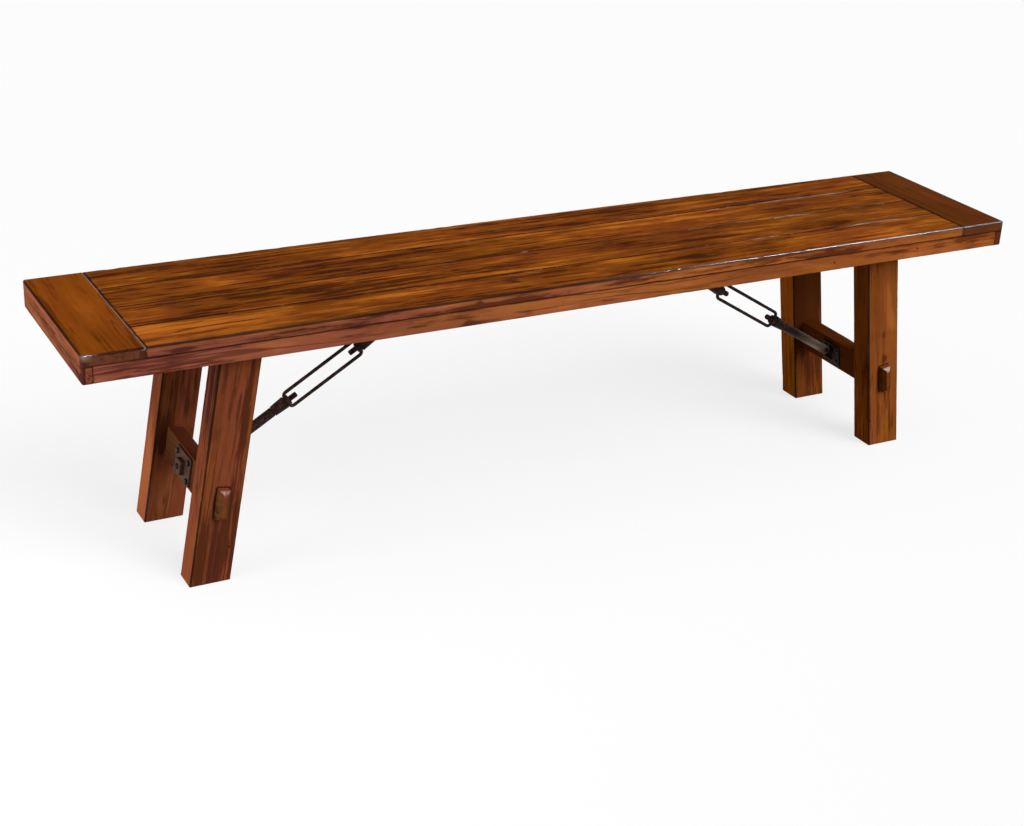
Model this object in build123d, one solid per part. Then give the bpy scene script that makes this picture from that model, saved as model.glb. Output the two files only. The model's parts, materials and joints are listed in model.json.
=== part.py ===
from build123d import *
import os
from math import atan2, cos, hypot, radians, sin, tan

# A dining bench: a planked seat with end boards, splayed legs joined in pairs by through-tenoned
# stretchers, and an iron turnbuckle brace from each stretcher up to the seat.
# Millimetres. X runs along the seat, Y from front to back, Z up from the floor.
# The right-hand pieces are made first and mirrored for the left.

# Overall sizes
SEAT_LENGTH = 1828.8
SEAT_DEPTH = 355.6
SEAT_HEIGHT = 457.2

# Seat deck: planks between two end boards, tongued together
DECK_THICKNESS = 18.6
PLANK_COUNT = 4
END_BOARD_WIDTH = 101.6
TONGUE_THICKNESS = 6.0
TONGUE_LENGTH = 8.0
TONGUE_SETBACK = 20.0
VEE_BEVEL = 1.4
TOP_EDGE_ROUND = 2.5
CORNER_ROUND = 5.0
SEAM_BEVEL = 0.8

# Edge strips under the deck
STRIP_HEIGHT = 29.4
SIDE_STRIP_WIDTH = 28.8
END_STRIP_WIDTH = 18.0
UNDER_EDGE_ROUND = 1.6

# Legs
LEG_WIDTH = 71.2
LEG_THICKNESS = 48.6
LEG_SPLAY = 9.0
FOOT_INSET = 165.8
LEG_EDGE_ROUND = 2.0
FOOT_BEVEL = 1.5

# Stretchers and their through tenons
STRETCHER_THICKNESS = 28.0
STRETCHER_HEIGHT = 60.0
STRETCHER_UP_LEG = 150.7
STRETCHER_EDGE_ROUND = 2.0
TENON_CHEEK = 4.0
TENON_SHOULDER = 3.0
TENON_REACH = 16.0
TENON_BEVEL = 6.0

# Cleats between the legs' tops
CLEAT_WIDTH = 60.0
CLEAT_HEIGHT = 25.0
CLEAT_TENON_WIDTH = 36.0
CLEAT_TENON_HEIGHT = 12.0
CLEAT_TENON_LENGTH = 20.0
CLEAT_EDGE_BEVEL = 2.0
CLEAT_BOLT_ALONG = 32.0
CLEAT_BOLT_ACROSS = 110.0
CLEAT_COUNTERBORE = 7.0

# Battens that carry the upper brackets
BATTEN_WIDTH = 70.0
BATTEN_THICKNESS = 12.0
BATTEN_EDGE_BEVEL = 2.0

# Brackets
PLATE_THICKNESS = 4.0
BRACKET_WIDTH = 54.0
BRACKET_HEIGHT = 44.0
BACKING_WIDTH = 74.0
BACKING_HEIGHT = 52.0
PLATE_CORNER_ROUND = 4.0
PLATE_EDGE_BEVEL = 0.8
PLATE_SCREW_MARGIN = 9.0
LUG_THICKNESS = 6.4
LUG_BASE = 32.0
LUG_EYE_RADIUS = 8.6
PIN_RISE = 14.0
PIN_STANDOFF = 16.0
STUD_DIAMETER = 10.0
STUD_TIP = 4.0
SQUARE_NUT_SIZE = 24.0
SQUARE_NUT_THICKNESS = 9.0
SQUARE_NUT_BEVEL = 1.5

# Turnbuckle braces
UPPER_PIN_FROM_CENTRE = 242.4
ROD_DIAMETER = 17.6
FORK_THICKNESS = 15.0
FORK_FLAT_LENGTH = 17.0
FORK_SLOT_ROOM = 2.4
THREAD_DIAMETER = 10.4
THREAD_REACH = 15.0
THREAD_POINT = 1.4
ROD_SHOULDER_BEVEL = 1.2
LOOP_LENGTH = 164.0
LOOP_WIDTH = 37.6
LOOP_BAR_DIAMETER = 6.6
LOOP_BEND_RADIUS = 7.0
EYE_DIAMETER = 18.0
EYE_LENGTH = 9.0
SLEEVE_LENGTH = 27.0
SLEEVE_LARGE_DIAMETER = 22.6
SLEEVE_SMALL_DIAMETER = 19.6
SLEEVE_RIM_BEVEL = 1.0
PIN_DIAMETER = 6.4
PIN_HEAD_DIAMETER = 10.0
PIN_HEAD_HEIGHT = 3.0

# Screws and bolts
SCREW_DIAMETER = 4.4
SCREW_HEAD_DIAMETER = 9.0
SCREW_HEAD_HEIGHT = 2.8
BRACKET_SCREW_BITE = 9.0
BATTEN_SCREW_BITE = 11.0
BACKING_BOLT_DIAMETER = 5.0
BACKING_BOLT_HEAD_DIAMETER = 11.0
BACKING_BOLT_HEAD_HEIGHT = 4.0
BACKING_BOLT_BITE = 11.0
CLEAT_BOLT_DIAMETER = 6.0
CLEAT_BOLT_HEAD_DIAMETER = 12.0
CLEAT_BOLT_HEAD_HEIGHT = 4.4
CLEAT_BOLT_BITE = 11.0
HEAD_BEVEL = 1.2

# Clearances
GLUE_GAP = 0.1
HOLE_GAP = 0.15
SLOT_GAP = 0.3
TURN_GAP = 0.05
END_PLAY = 0.5

# Heights and places worked out from the sizes above
deck_underside = SEAT_HEIGHT - DECK_THICKNESS
strip_underside = deck_underside - STRIP_HEIGHT
plank_width = SEAT_DEPTH / PLANK_COUNT
plank_half_length = SEAT_LENGTH / 2 - END_BOARD_WIDTH
leg_outer_y = SEAT_DEPTH / 2 - SIDE_STRIP_WIDTH
leg_inner_y = leg_outer_y - LEG_THICKNESS
leg_middle_y = (leg_outer_y + leg_inner_y) / 2
splay = radians(LEG_SPLAY)
foot_middle_x = SEAT_LENGTH / 2 - FOOT_INSET - LEG_WIDTH / cos(splay) / 2
cleat_middle_z = deck_underside - CLEAT_HEIGHT / 2
cleat_middle_x = foot_middle_x - cleat_middle_z * tan(splay)
tenon_thickness = STRETCHER_THICKNESS - 2 * TENON_CHEEK
tenon_height = STRETCHER_HEIGHT - 2 * TENON_SHOULDER
batten_underside = deck_underside - BATTEN_THICKNESS
batten_middle_x = UPPER_PIN_FROM_CENTRE - PIN_RISE
plank_middles = [(place + 0.5) * plank_width - SEAT_DEPTH / 2 for place in range(PLANK_COUNT)]

# The leg's own axes: x outward, y to the back, z up the leg from the middle of the foot
leg_axes = Plane(
    origin=(foot_middle_x, 0, 0),
    x_dir=(cos(splay), 0, sin(splay)),
    z_dir=(-sin(splay), 0, cos(splay)),
)

# A bracket's axes: x towards the pin's side, z away from the timber, at the middle of the plate's back
lower_bracket_axes = leg_axes * Pos(-STRETCHER_THICKNESS / 2, 0, STRETCHER_UP_LEG) * Rot(0, -90, 0)
upper_bracket_axes = Pos(batten_middle_x, 0, batten_underside) * Rot(180, 0, 0)
backing_axes = leg_axes * Pos(STRETCHER_THICKNESS / 2, 0, STRETCHER_UP_LEG) * Rot(0, 90, 0)

# The brace runs straight from the lower pin to the upper pin
pin_place = Pos(PIN_RISE, 0, PLATE_THICKNESS + PIN_STANDOFF)
lower_pin = (lower_bracket_axes * pin_place).position
upper_pin = (upper_bracket_axes * pin_place).position
pin_run = lower_pin.X - upper_pin.X
pin_climb = upper_pin.Z - lower_pin.Z
pin_distance = hypot(pin_run, pin_climb)
brace_angle = atan2(pin_climb, pin_run)
brace_climb = Vector(-cos(brace_angle), 0, sin(brace_angle))
brace_square = Vector(sin(brace_angle), 0, cos(brace_angle))
lower_rod_axes = Plane(origin=lower_pin, x_dir=brace_climb, z_dir=brace_square)
upper_rod_axes = Plane(origin=upper_pin, x_dir=-brace_climb, z_dir=brace_square)
loop_start = (pin_distance - LOOP_LENGTH) / 2
sleeve_start = loop_start - SLEEVE_LENGTH
eye_bore_radius = THREAD_DIAMETER / 2 + TURN_GAP


def block(x_limits, y_limits, z_limits):
    """A box between pairs of limits."""
    spans = [limits[1] - limits[0] for limits in (x_limits, y_limits, z_limits)]
    middles = [sum(limits) / 2 for limits in (x_limits, y_limits, z_limits)]
    return Pos(*middles) * Box(*spans)


def rod_between(radius, start, end):
    """A round bar along Z between two heights."""
    return Pos(0, 0, (start + end) / 2) * Cylinder(radius, end - start)


def turned(points):
    """A solid turned about Z from an outline of (radius, height) points."""
    outline = Plane.XZ * make_face(Polyline(*points, close=True))
    return revolve(outline, Axis.Z)


def edges_at(part, axis, along, last):
    """The edges that run along one axis at the low or high end of another."""
    return part.edges().filter_by(along).group_by(axis)[-1 if last else 0]


def fastener(diameter, length, head_diameter, head_height):
    """A fastener whose head sits under z = 0 and whose shank goes up to z = length."""
    radius = diameter / 2
    head_radius = head_diameter / 2
    outline = [
        (0, -head_height),
        (head_radius - HEAD_BEVEL, -head_height),
        (head_radius, HEAD_BEVEL - head_height),
        (head_radius, 0),
        (radius, 0),
        (radius, length - radius),
        (0, length),
    ]
    return turned(outline)


def pilot(diameter, length):
    """The hole that a fastener's shank needs, from z = 0 upwards."""
    return rod_between(diameter / 2 + HOLE_GAP, -HOLE_GAP, length + HOLE_GAP)


def corners(width, height, margin):
    """Four places near the corners of a plate, x across its height and y across its width."""
    return [
        (x_side * (height / 2 - margin), y_side * (width / 2 - margin))
        for x_side in (-1, 1)
        for y_side in (-1, 1)
    ]


def plate_screw_places(width, height):
    """Where fasteners go through a plate: on its outer face, pointing into the timber."""
    return [
        Pos(x, y, PLATE_THICKNESS) * Rot(180, 0, 0)
        for x, y in corners(width, height, PLATE_SCREW_MARGIN)
    ]


bracket_screw_places = plate_screw_places(BRACKET_WIDTH, BRACKET_HEIGHT)
backing_bolt_places = plate_screw_places(BACKING_WIDTH, BACKING_HEIGHT)
bracket_screw_length = PLATE_THICKNESS + BRACKET_SCREW_BITE
backing_bolt_length = PLATE_THICKNESS + BACKING_BOLT_BITE
batten_screw_length = BATTEN_THICKNESS + BATTEN_SCREW_BITE
cleat_bolt_length = CLEAT_HEIGHT - CLEAT_COUNTERBORE + CLEAT_BOLT_BITE
cleat_bolt_places = [
    Pos(
        cleat_middle_x + x_side * CLEAT_BOLT_ALONG / 2,
        y_side * CLEAT_BOLT_ACROSS / 2,
        deck_underside - CLEAT_HEIGHT + CLEAT_COUNTERBORE,
    )
    for x_side in (-1, 1)
    for y_side in (-1, 1)
]
batten_screw_places = [Pos(batten_middle_x, y, batten_underside) for y in plank_middles]


def both_ends(part):
    """A right-hand part together with its mirror image at the left end."""
    return [part, part.mirror(Plane.YZ)]


def deck_pilots():
    """Every screw hole that comes up into the deck from below."""
    holes = [place * pilot(SCREW_DIAMETER, batten_screw_length) for place in batten_screw_places]
    holes += [place * pilot(CLEAT_BOLT_DIAMETER, cleat_bolt_length) for place in cleat_bolt_places]
    return [copy for hole in holes for copy in both_ends(hole)]


def seat_plank(place):
    """One seat plank: outer edges rounded, inner edges bevelled, tongued behind and grooved in front."""
    first = place == 0
    last = place == PLANK_COUNT - 1
    front_y = place * plank_width - SEAT_DEPTH / 2
    back_y = front_y + plank_width
    x_limits = (-plank_half_length, plank_half_length)
    plank = block(x_limits, (front_y, back_y), (deck_underside, SEAT_HEIGHT))
    for outer, is_back in ((first, False), (last, True)):
        edge = edges_at(plank, Axis.Z, Axis.X, True).sort_by(Axis.Y)[-1 if is_back else 0]
        plank = fillet(edge, TOP_EDGE_ROUND) if outer else chamfer(edge, VEE_BEVEL)
        if outer:
            lower_edge = edges_at(plank, Axis.Z, Axis.X, False).sort_by(Axis.Y)[-1 if is_back else 0]
            plank = chamfer(lower_edge, SEAM_BEVEL)
    for is_right in (False, True):
        end_edge = edges_at(plank, Axis.Z, Axis.Y, True).sort_by(Axis.X)[-1 if is_right else 0]
        plank = chamfer(end_edge, VEE_BEVEL)

    tongue_z = deck_underside + DECK_THICKNESS / 2
    tongue_limits = (tongue_z - TONGUE_THICKNESS / 2, tongue_z + TONGUE_THICKNESS / 2)
    groove_limits = (tongue_limits[0] - GLUE_GAP, tongue_limits[1] + GLUE_GAP)
    if not first:
        plank -= block(x_limits, (front_y, front_y + TONGUE_LENGTH + GLUE_GAP), groove_limits)
    if not last:
        plank += block(x_limits, (back_y, back_y + TONGUE_LENGTH), tongue_limits)
    end_front = front_y + (TONGUE_SETBACK if first else TONGUE_LENGTH + GLUE_GAP)
    end_back = back_y - (TONGUE_SETBACK if last else 0)
    for side in (-1, 1):
        tongue_ends = sorted((side * plank_half_length, side * (plank_half_length + TONGUE_LENGTH)))
        plank += block(tongue_ends, (end_front, end_back), tongue_limits)
    for hole in deck_pilots():
        plank -= hole
    return plank


def end_board():
    """The board across the right end, with a stopped groove for the planks' tongues."""
    board = block(
        (plank_half_length, SEAT_LENGTH / 2),
        (-SEAT_DEPTH / 2, SEAT_DEPTH / 2),
        (deck_underside, SEAT_HEIGHT),
    )
    board = fillet(edges_at(board, Axis.X, Axis.Z, True), CORNER_ROUND)
    inner_top = edges_at(board, Axis.Z, Axis.Y, True).sort_by(Axis.X)[0]
    board = chamfer(inner_top, VEE_BEVEL)
    top_face = board.faces().sort_by(Axis.Z)[-1]
    board = fillet(top_face.edges().sort_by(Axis.X)[1:], TOP_EDGE_ROUND)
    under_face = board.faces().sort_by(Axis.Z)[0]
    board = chamfer(under_face.edges().sort_by(Axis.X)[1:], SEAM_BEVEL)
    tongue_z = deck_underside + DECK_THICKNESS / 2
    groove_half = TONGUE_THICKNESS / 2 + GLUE_GAP
    groove_y = SEAT_DEPTH / 2 - TONGUE_SETBACK + GLUE_GAP
    return board - block(
        (plank_half_length, plank_half_length + TONGUE_LENGTH + GLUE_GAP),
        (-groove_y, groove_y),
        (tongue_z - groove_half, tongue_z + groove_half),
    )


def side_strip():
    """The front edge strip, between the end strips."""
    half_length = SEAT_LENGTH / 2 - END_STRIP_WIDTH
    strip = block(
        (-half_length, half_length),
        (-SEAT_DEPTH / 2, -leg_outer_y),
        (strip_underside, deck_underside),
    )
    strip = fillet(edges_at(strip, Axis.Z, Axis.X, False).sort_by(Axis.Y)[0], UNDER_EDGE_ROUND)
    return chamfer(edges_at(strip, Axis.Z, Axis.X, True).sort_by(Axis.Y)[0], SEAM_BEVEL)


def end_strip():
    """The strip across the right end, over the full depth of the seat."""
    strip = block(
        (SEAT_LENGTH / 2 - END_STRIP_WIDTH, SEAT_LENGTH / 2),
        (-SEAT_DEPTH / 2, SEAT_DEPTH / 2),
        (strip_underside, deck_underside),
    )
    strip = fillet(edges_at(strip, Axis.X, Axis.Z, True), CORNER_ROUND)
    strip = fillet(strip.faces().sort_by(Axis.Z)[0].edges().sort_by(Axis.X)[1:], UNDER_EDGE_ROUND)
    return chamfer(strip.faces().sort_by(Axis.Z)[-1].edges().sort_by(Axis.X)[1:], SEAM_BEVEL)


def leg():
    """The right front leg: splayed, cut level at both ends, with a through mortise and a blind one."""
    half_width = LEG_WIDTH / cos(splay) / 2
    top_middle_x = foot_middle_x - deck_underside * tan(splay)
    outline = Polyline(
        (foot_middle_x - half_width, 0),
        (foot_middle_x + half_width, 0),
        (top_middle_x + half_width, deck_underside),
        (top_middle_x - half_width, deck_underside),
        close=True,
    )
    timber = extrude(Plane.XZ * make_face(outline), LEG_THICKNESS / 2, both=True)
    timber = Pos(0, -leg_middle_y, 0) * timber
    long_edges = [edge for edge in timber.edges() if edge.length > deck_underside]
    timber = fillet(long_edges, LEG_EDGE_ROUND)
    timber = chamfer(timber.faces().sort_by(Axis.Z)[0].edges(), FOOT_BEVEL)
    through_mortise = leg_axes * Pos(0, 0, STRETCHER_UP_LEG) * Box(
        tenon_thickness + 2 * GLUE_GAP,
        SEAT_DEPTH,
        tenon_height + 2 * GLUE_GAP,
    )
    blind_mortise = Pos(cleat_middle_x, 0, cleat_middle_z) * Box(
        CLEAT_TENON_WIDTH + 2 * GLUE_GAP,
        2 * (leg_inner_y + CLEAT_TENON_LENGTH + GLUE_GAP),
        CLEAT_TENON_HEIGHT + 2 * GLUE_GAP,
    )
    return timber - through_mortise - blind_mortise


def stretcher():
    """The right stretcher: a rail with a bevelled through tenon at each end."""
    rail = Box(STRETCHER_THICKNESS, 2 * leg_inner_y, STRETCHER_HEIGHT)
    rail = fillet(rail.edges().filter_by(Axis.Y), STRETCHER_EDGE_ROUND)
    tenon_length = 2 * (leg_outer_y + TENON_REACH)
    tenon = Box(tenon_thickness, tenon_length, tenon_height)
    end_faces = tenon.faces().filter_by(Axis.Y)
    tenon = chamfer(end_faces.edges(), TENON_BEVEL)
    rail = leg_axes * Pos(0, 0, STRETCHER_UP_LEG) * (rail + tenon)
    stud_length = 2 * STRETCHER_THICKNESS
    rail -= lower_bracket_axes * rod_between(STUD_DIAMETER / 2 + HOLE_GAP, -stud_length, stud_length)
    for place in bracket_screw_places:
        rail -= lower_bracket_axes * place * pilot(SCREW_DIAMETER, bracket_screw_length)
    for place in backing_bolt_places:
        rail -= backing_axes * place * pilot(BACKING_BOLT_DIAMETER, backing_bolt_length)
    return rail


def leg_cleat():
    """The right cleat: a rail under the deck with a stub tenon into each leg."""
    rail = Box(CLEAT_WIDTH, 2 * leg_inner_y, CLEAT_HEIGHT)
    rail = chamfer(edges_at(rail, Axis.Z, Axis.Y, False), CLEAT_EDGE_BEVEL)
    rail += Box(CLEAT_TENON_WIDTH, 2 * (leg_inner_y + CLEAT_TENON_LENGTH), CLEAT_TENON_HEIGHT)
    rail = Pos(cleat_middle_x, 0, cleat_middle_z) * rail
    counterbore_radius = CLEAT_BOLT_HEAD_DIAMETER / 2 + SLOT_GAP
    for place in cleat_bolt_places:
        rail -= place * pilot(CLEAT_BOLT_DIAMETER, cleat_bolt_length)
        rail -= place * rod_between(counterbore_radius, -CLEAT_COUNTERBORE, 0)
    return rail


def bracket_batten():
    """The right batten, across the planks between the side strips."""
    batten = Pos(batten_middle_x, 0, batten_underside + BATTEN_THICKNESS / 2) * Box(
        BATTEN_WIDTH, 2 * leg_outer_y, BATTEN_THICKNESS
    )
    batten = chamfer(edges_at(batten, Axis.Z, Axis.Y, False), BATTEN_EDGE_BEVEL)
    for place in batten_screw_places:
        batten -= place * pilot(SCREW_DIAMETER, batten_screw_length)
    for place in bracket_screw_places:
        batten -= upper_bracket_axes * place * pilot(SCREW_DIAMETER, bracket_screw_length)
    return batten


def plate(width, height, hole_places, hole_diameter):
    """A flat plate with rounded corners and eased edges, drilled for its fasteners."""
    flat = extrude(RectangleRounded(height, width, PLATE_CORNER_ROUND), PLATE_THICKNESS)
    flat = chamfer(flat.faces().sort_by(Axis.Z)[-1].edges(), PLATE_EDGE_BEVEL)
    for place in hole_places:
        flat -= place * pilot(hole_diameter, 2 * PLATE_THICKNESS)
    return flat


def bracket():
    """A bracket: a plate with a lug that leans towards its pin."""
    pin_height = PLATE_THICKNESS + PIN_STANDOFF
    foot_line = Line((-LUG_BASE / 2, PLATE_THICKNESS), (LUG_BASE / 2, PLATE_THICKNESS))
    eye = Pos(PIN_RISE, pin_height) * Circle(LUG_EYE_RADIUS)
    outline = make_hull([foot_line.edge(), *eye.edges()])
    outline -= Pos(PIN_RISE, pin_height) * Circle(PIN_DIAMETER / 2 + HOLE_GAP)
    lug = extrude(Plane.XZ * outline, LUG_THICKNESS / 2, both=True)
    return plate(BRACKET_WIDTH, BRACKET_HEIGHT, bracket_screw_places, SCREW_DIAMETER) + lug


def lower_bracket():
    """The right lower bracket, whose stud goes out through the stretcher."""
    stud_length = STRETCHER_THICKNESS + PLATE_THICKNESS + SQUARE_NUT_THICKNESS + STUD_TIP
    stud = rod_between(STUD_DIAMETER / 2, -stud_length, PLATE_THICKNESS)
    tip_edge = stud.faces().sort_by(Axis.Z)[0].edges()
    return lower_bracket_axes * (bracket() + chamfer(tip_edge, THREAD_POINT))


def backing_plate():
    """The plate on the right stretcher's outer face."""
    flat = plate(BACKING_WIDTH, BACKING_HEIGHT, backing_bolt_places, BACKING_BOLT_DIAMETER)
    return backing_axes * (flat - pilot(STUD_DIAMETER, PLATE_THICKNESS))


def square_nut():
    """The nut that pulls the lower bracket against the stretcher."""
    nut = extrude(Rectangle(SQUARE_NUT_SIZE, SQUARE_NUT_SIZE), SQUARE_NUT_THICKNESS)
    nut = chamfer(nut.faces().sort_by(Axis.Z)[-1].edges(), SQUARE_NUT_BEVEL)
    nut -= pilot(STUD_DIAMETER, SQUARE_NUT_THICKNESS)
    return backing_axes * Pos(0, 0, PLATE_THICKNESS) * nut


def rod():
    """A brace rod along X from its pin: a slotted round end, a shank and a threaded stub."""
    radius = ROD_DIAMETER / 2
    shoulder = sleeve_start - END_PLAY
    tip = loop_start + EYE_LENGTH + THREAD_REACH
    outline = [
        (0, -radius),
        (radius, -radius),
        (radius, shoulder - ROD_SHOULDER_BEVEL),
        (radius - ROD_SHOULDER_BEVEL, shoulder),
        (THREAD_DIAMETER / 2, shoulder),
        (THREAD_DIAMETER / 2, tip - THREAD_POINT),
        (THREAD_DIAMETER / 2 - THREAD_POINT, tip),
        (0, tip),
    ]
    bar = Rot(0, 90, 0) * turned(outline)
    side_view = Circle(radius) + Pos(tip / 2, 0) * Rectangle(tip, ROD_DIAMETER)
    bar &= extrude(Plane.XZ * side_view, ROD_DIAMETER, both=True)
    for side in (-1, 1):
        cheek_limits = sorted((side * FORK_THICKNESS / 2, side * ROD_DIAMETER))
        bar -= block((-ROD_DIAMETER, FORK_FLAT_LENGTH), cheek_limits, (-ROD_DIAMETER, ROD_DIAMETER))
    slot_half = LUG_THICKNESS / 2 + SLOT_GAP
    slot_end = LUG_EYE_RADIUS + FORK_SLOT_ROOM
    bar -= block((-ROD_DIAMETER, slot_end), (-slot_half, slot_half), (-ROD_DIAMETER, ROD_DIAMETER))
    pin_hole = Rot(90, 0, 0) * Cylinder(PIN_DIAMETER / 2 + HOLE_GAP, 2 * ROD_DIAMETER)
    return bar - pin_hole


def pivot_pin():
    """A pin along Y with a head on each cheek of the fork."""
    cheek = FORK_THICKNESS / 2
    end = cheek + PIN_HEAD_HEIGHT
    head_radius = PIN_HEAD_DIAMETER / 2
    outline = [
        (0, -end),
        (head_radius - HEAD_BEVEL, -end),
        (head_radius, HEAD_BEVEL - end),
        (head_radius, -cheek),
        (PIN_DIAMETER / 2, -cheek),
        (PIN_DIAMETER / 2, cheek),
        (head_radius, cheek),
        (head_radius, end - HEAD_BEVEL),
        (head_radius - HEAD_BEVEL, end),
        (0, end),
    ]
    return Rot(90, 0, 0) * turned(outline)


def turnbuckle_loop():
    """The bent bar of the turnbuckle, with an eye for a threaded stub in each end."""
    bar_radius = LOOP_BAR_DIAMETER / 2
    half_length = LOOP_LENGTH / 2 - bar_radius
    half_width = LOOP_WIDTH / 2 - bar_radius
    path = RectangleRounded(2 * half_length, 2 * half_width, LOOP_BEND_RADIUS).wire()
    path = Plane.XZ * path
    start = path @ 0
    section = Plane(origin=start, z_dir=path % 0) * Circle(bar_radius)
    loop = sweep(section, path)
    eye_middle = LOOP_LENGTH / 2 - EYE_LENGTH / 2
    for side in (-1, 1):
        loop += Pos(side * eye_middle, 0, 0) * Rot(0, 90, 0) * Cylinder(EYE_DIAMETER / 2, EYE_LENGTH)
    bore = Rot(0, 90, 0) * Cylinder(eye_bore_radius, LOOP_LENGTH)
    return lower_rod_axes * Pos(pin_distance / 2, 0, 0) * (loop - bore)


def sleeve():
    """A tapered threaded sleeve along X that ends at the loop's eye."""
    small = SLEEVE_SMALL_DIAMETER / 2
    large = SLEEVE_LARGE_DIAMETER / 2
    outline = [
        (eye_bore_radius, sleeve_start),
        (small - SLEEVE_RIM_BEVEL, sleeve_start),
        (small, sleeve_start + SLEEVE_RIM_BEVEL),
        (large, loop_start - SLEEVE_RIM_BEVEL),
        (large - SLEEVE_RIM_BEVEL, loop_start),
        (eye_bore_radius, loop_start),
    ]
    return Rot(0, 90, 0) * turned(outline)


def bracket_screws():
    """Screws through the right-hand brackets' plates."""
    screw = fastener(SCREW_DIAMETER, bracket_screw_length, SCREW_HEAD_DIAMETER, SCREW_HEAD_HEIGHT)
    axes = (lower_bracket_axes, upper_bracket_axes)
    return [bracket_place * place * screw for bracket_place in axes for place in bracket_screw_places]


def backing_plate_bolts():
    """Bolts through the right backing plate."""
    bolt = fastener(
        BACKING_BOLT_DIAMETER, backing_bolt_length, BACKING_BOLT_HEAD_DIAMETER, BACKING_BOLT_HEAD_HEIGHT
    )
    return [backing_axes * place * bolt for place in backing_bolt_places]


def cleat_bolts():
    """Bolts up through the right cleat into the planks."""
    bolt = fastener(
        CLEAT_BOLT_DIAMETER, cleat_bolt_length, CLEAT_BOLT_HEAD_DIAMETER, CLEAT_BOLT_HEAD_HEIGHT
    )
    return [place * bolt for place in cleat_bolt_places]


def batten_screws():
    """Screws up through the right batten, one into each plank."""
    screw = fastener(SCREW_DIAMETER, batten_screw_length, SCREW_HEAD_DIAMETER, SCREW_HEAD_HEIGHT)
    return [place * screw for place in batten_screw_places]


def pivot_pins():
    """The right brace's two pins."""
    return [axes * pivot_pin() for axes in (lower_rod_axes, upper_rod_axes)]


def save(name, shape):
    """Write one piece, or a group of like pieces, to its own file."""
    export_step(shape, f"parts/{name}.step")


def save_pair(name, right_part):
    """Write a right-hand piece and its mirror image for the left."""
    save(f"right_{name}", right_part)
    save(f"left_{name}", right_part.mirror(Plane.YZ))


def save_group(name, right_parts):
    """Write like fasteners from both ends of the bench as one group of separate solids."""
    solids = [copy.solid() for part in right_parts for copy in both_ends(part)]
    save(name, Compound(solids))


os.makedirs("parts", exist_ok=True)

for number in range(PLANK_COUNT):
    save(f"seat_plank_{number + 1}", seat_plank(number))
save_pair("end_board", end_board())
save("front_edge_strip", side_strip())
save("back_edge_strip", side_strip().mirror(Plane.XZ))
save_pair("end_strip", end_strip())
save_pair("leg_cleat", leg_cleat())
save_pair("bracket_batten", bracket_batten())

save_pair("front_leg", leg())
save_pair("back_leg", leg().mirror(Plane.XZ))
save_pair("stretcher", stretcher())

save_pair("lower_bracket", lower_bracket())
save_pair("upper_bracket", upper_bracket_axes * bracket())
save_pair("backing_plate", backing_plate())
save_pair("square_nut", square_nut())
save_pair("lower_rod", lower_rod_axes * rod())
save_pair("upper_rod", upper_rod_axes * rod())
save_pair("turnbuckle_loop", turnbuckle_loop())
save_pair("lower_sleeve", lower_rod_axes * sleeve())
save_pair("upper_sleeve", upper_rod_axes * sleeve())

save_group("pivot_pins", pivot_pins())
save_group("bracket_screws", bracket_screws())
save_group("backing_plate_bolts", backing_plate_bolts())
save_group("cleat_bolts", cleat_bolts())
save_group("batten_screws", batten_screws())
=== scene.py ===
import json
from math import cos, radians, sin, tan

import bpy
import numpy as np
from bpy.props import FloatProperty, FloatVectorProperty, PointerProperty
from bpy.types import Operator, Panel, PropertyGroup
from mathutils import Matrix, Vector


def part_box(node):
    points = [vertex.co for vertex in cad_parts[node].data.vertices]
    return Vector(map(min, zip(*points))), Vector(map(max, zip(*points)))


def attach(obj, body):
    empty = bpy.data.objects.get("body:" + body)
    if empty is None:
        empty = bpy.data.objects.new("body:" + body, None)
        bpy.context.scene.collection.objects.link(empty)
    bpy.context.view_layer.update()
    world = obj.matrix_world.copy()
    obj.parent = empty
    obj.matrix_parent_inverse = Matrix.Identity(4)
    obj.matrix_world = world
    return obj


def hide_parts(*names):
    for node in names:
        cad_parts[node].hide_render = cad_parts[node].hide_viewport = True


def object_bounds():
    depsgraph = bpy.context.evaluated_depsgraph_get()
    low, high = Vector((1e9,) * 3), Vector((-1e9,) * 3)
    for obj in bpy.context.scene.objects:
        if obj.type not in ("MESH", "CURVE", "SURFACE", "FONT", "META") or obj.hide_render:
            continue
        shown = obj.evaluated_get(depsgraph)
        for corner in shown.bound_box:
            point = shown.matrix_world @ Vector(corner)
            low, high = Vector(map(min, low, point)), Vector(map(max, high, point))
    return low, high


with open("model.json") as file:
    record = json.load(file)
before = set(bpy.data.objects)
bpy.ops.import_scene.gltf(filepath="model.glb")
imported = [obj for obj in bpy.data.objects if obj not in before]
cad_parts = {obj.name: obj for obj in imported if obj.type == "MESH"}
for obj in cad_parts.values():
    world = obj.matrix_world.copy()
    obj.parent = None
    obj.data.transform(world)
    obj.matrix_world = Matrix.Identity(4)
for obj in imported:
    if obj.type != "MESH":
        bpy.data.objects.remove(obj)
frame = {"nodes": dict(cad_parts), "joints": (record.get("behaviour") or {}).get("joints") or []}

bl_info = {
    "name": "Turnbuckle dining bench",
    "version": (1, 0, 0),
    "blender": (4, 5, 0),
    "location": "View3D > Sidebar > Bench",
    "description": "Builds the looks of a dining bench round its fixed frame",
    "category": "Object",
}

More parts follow.
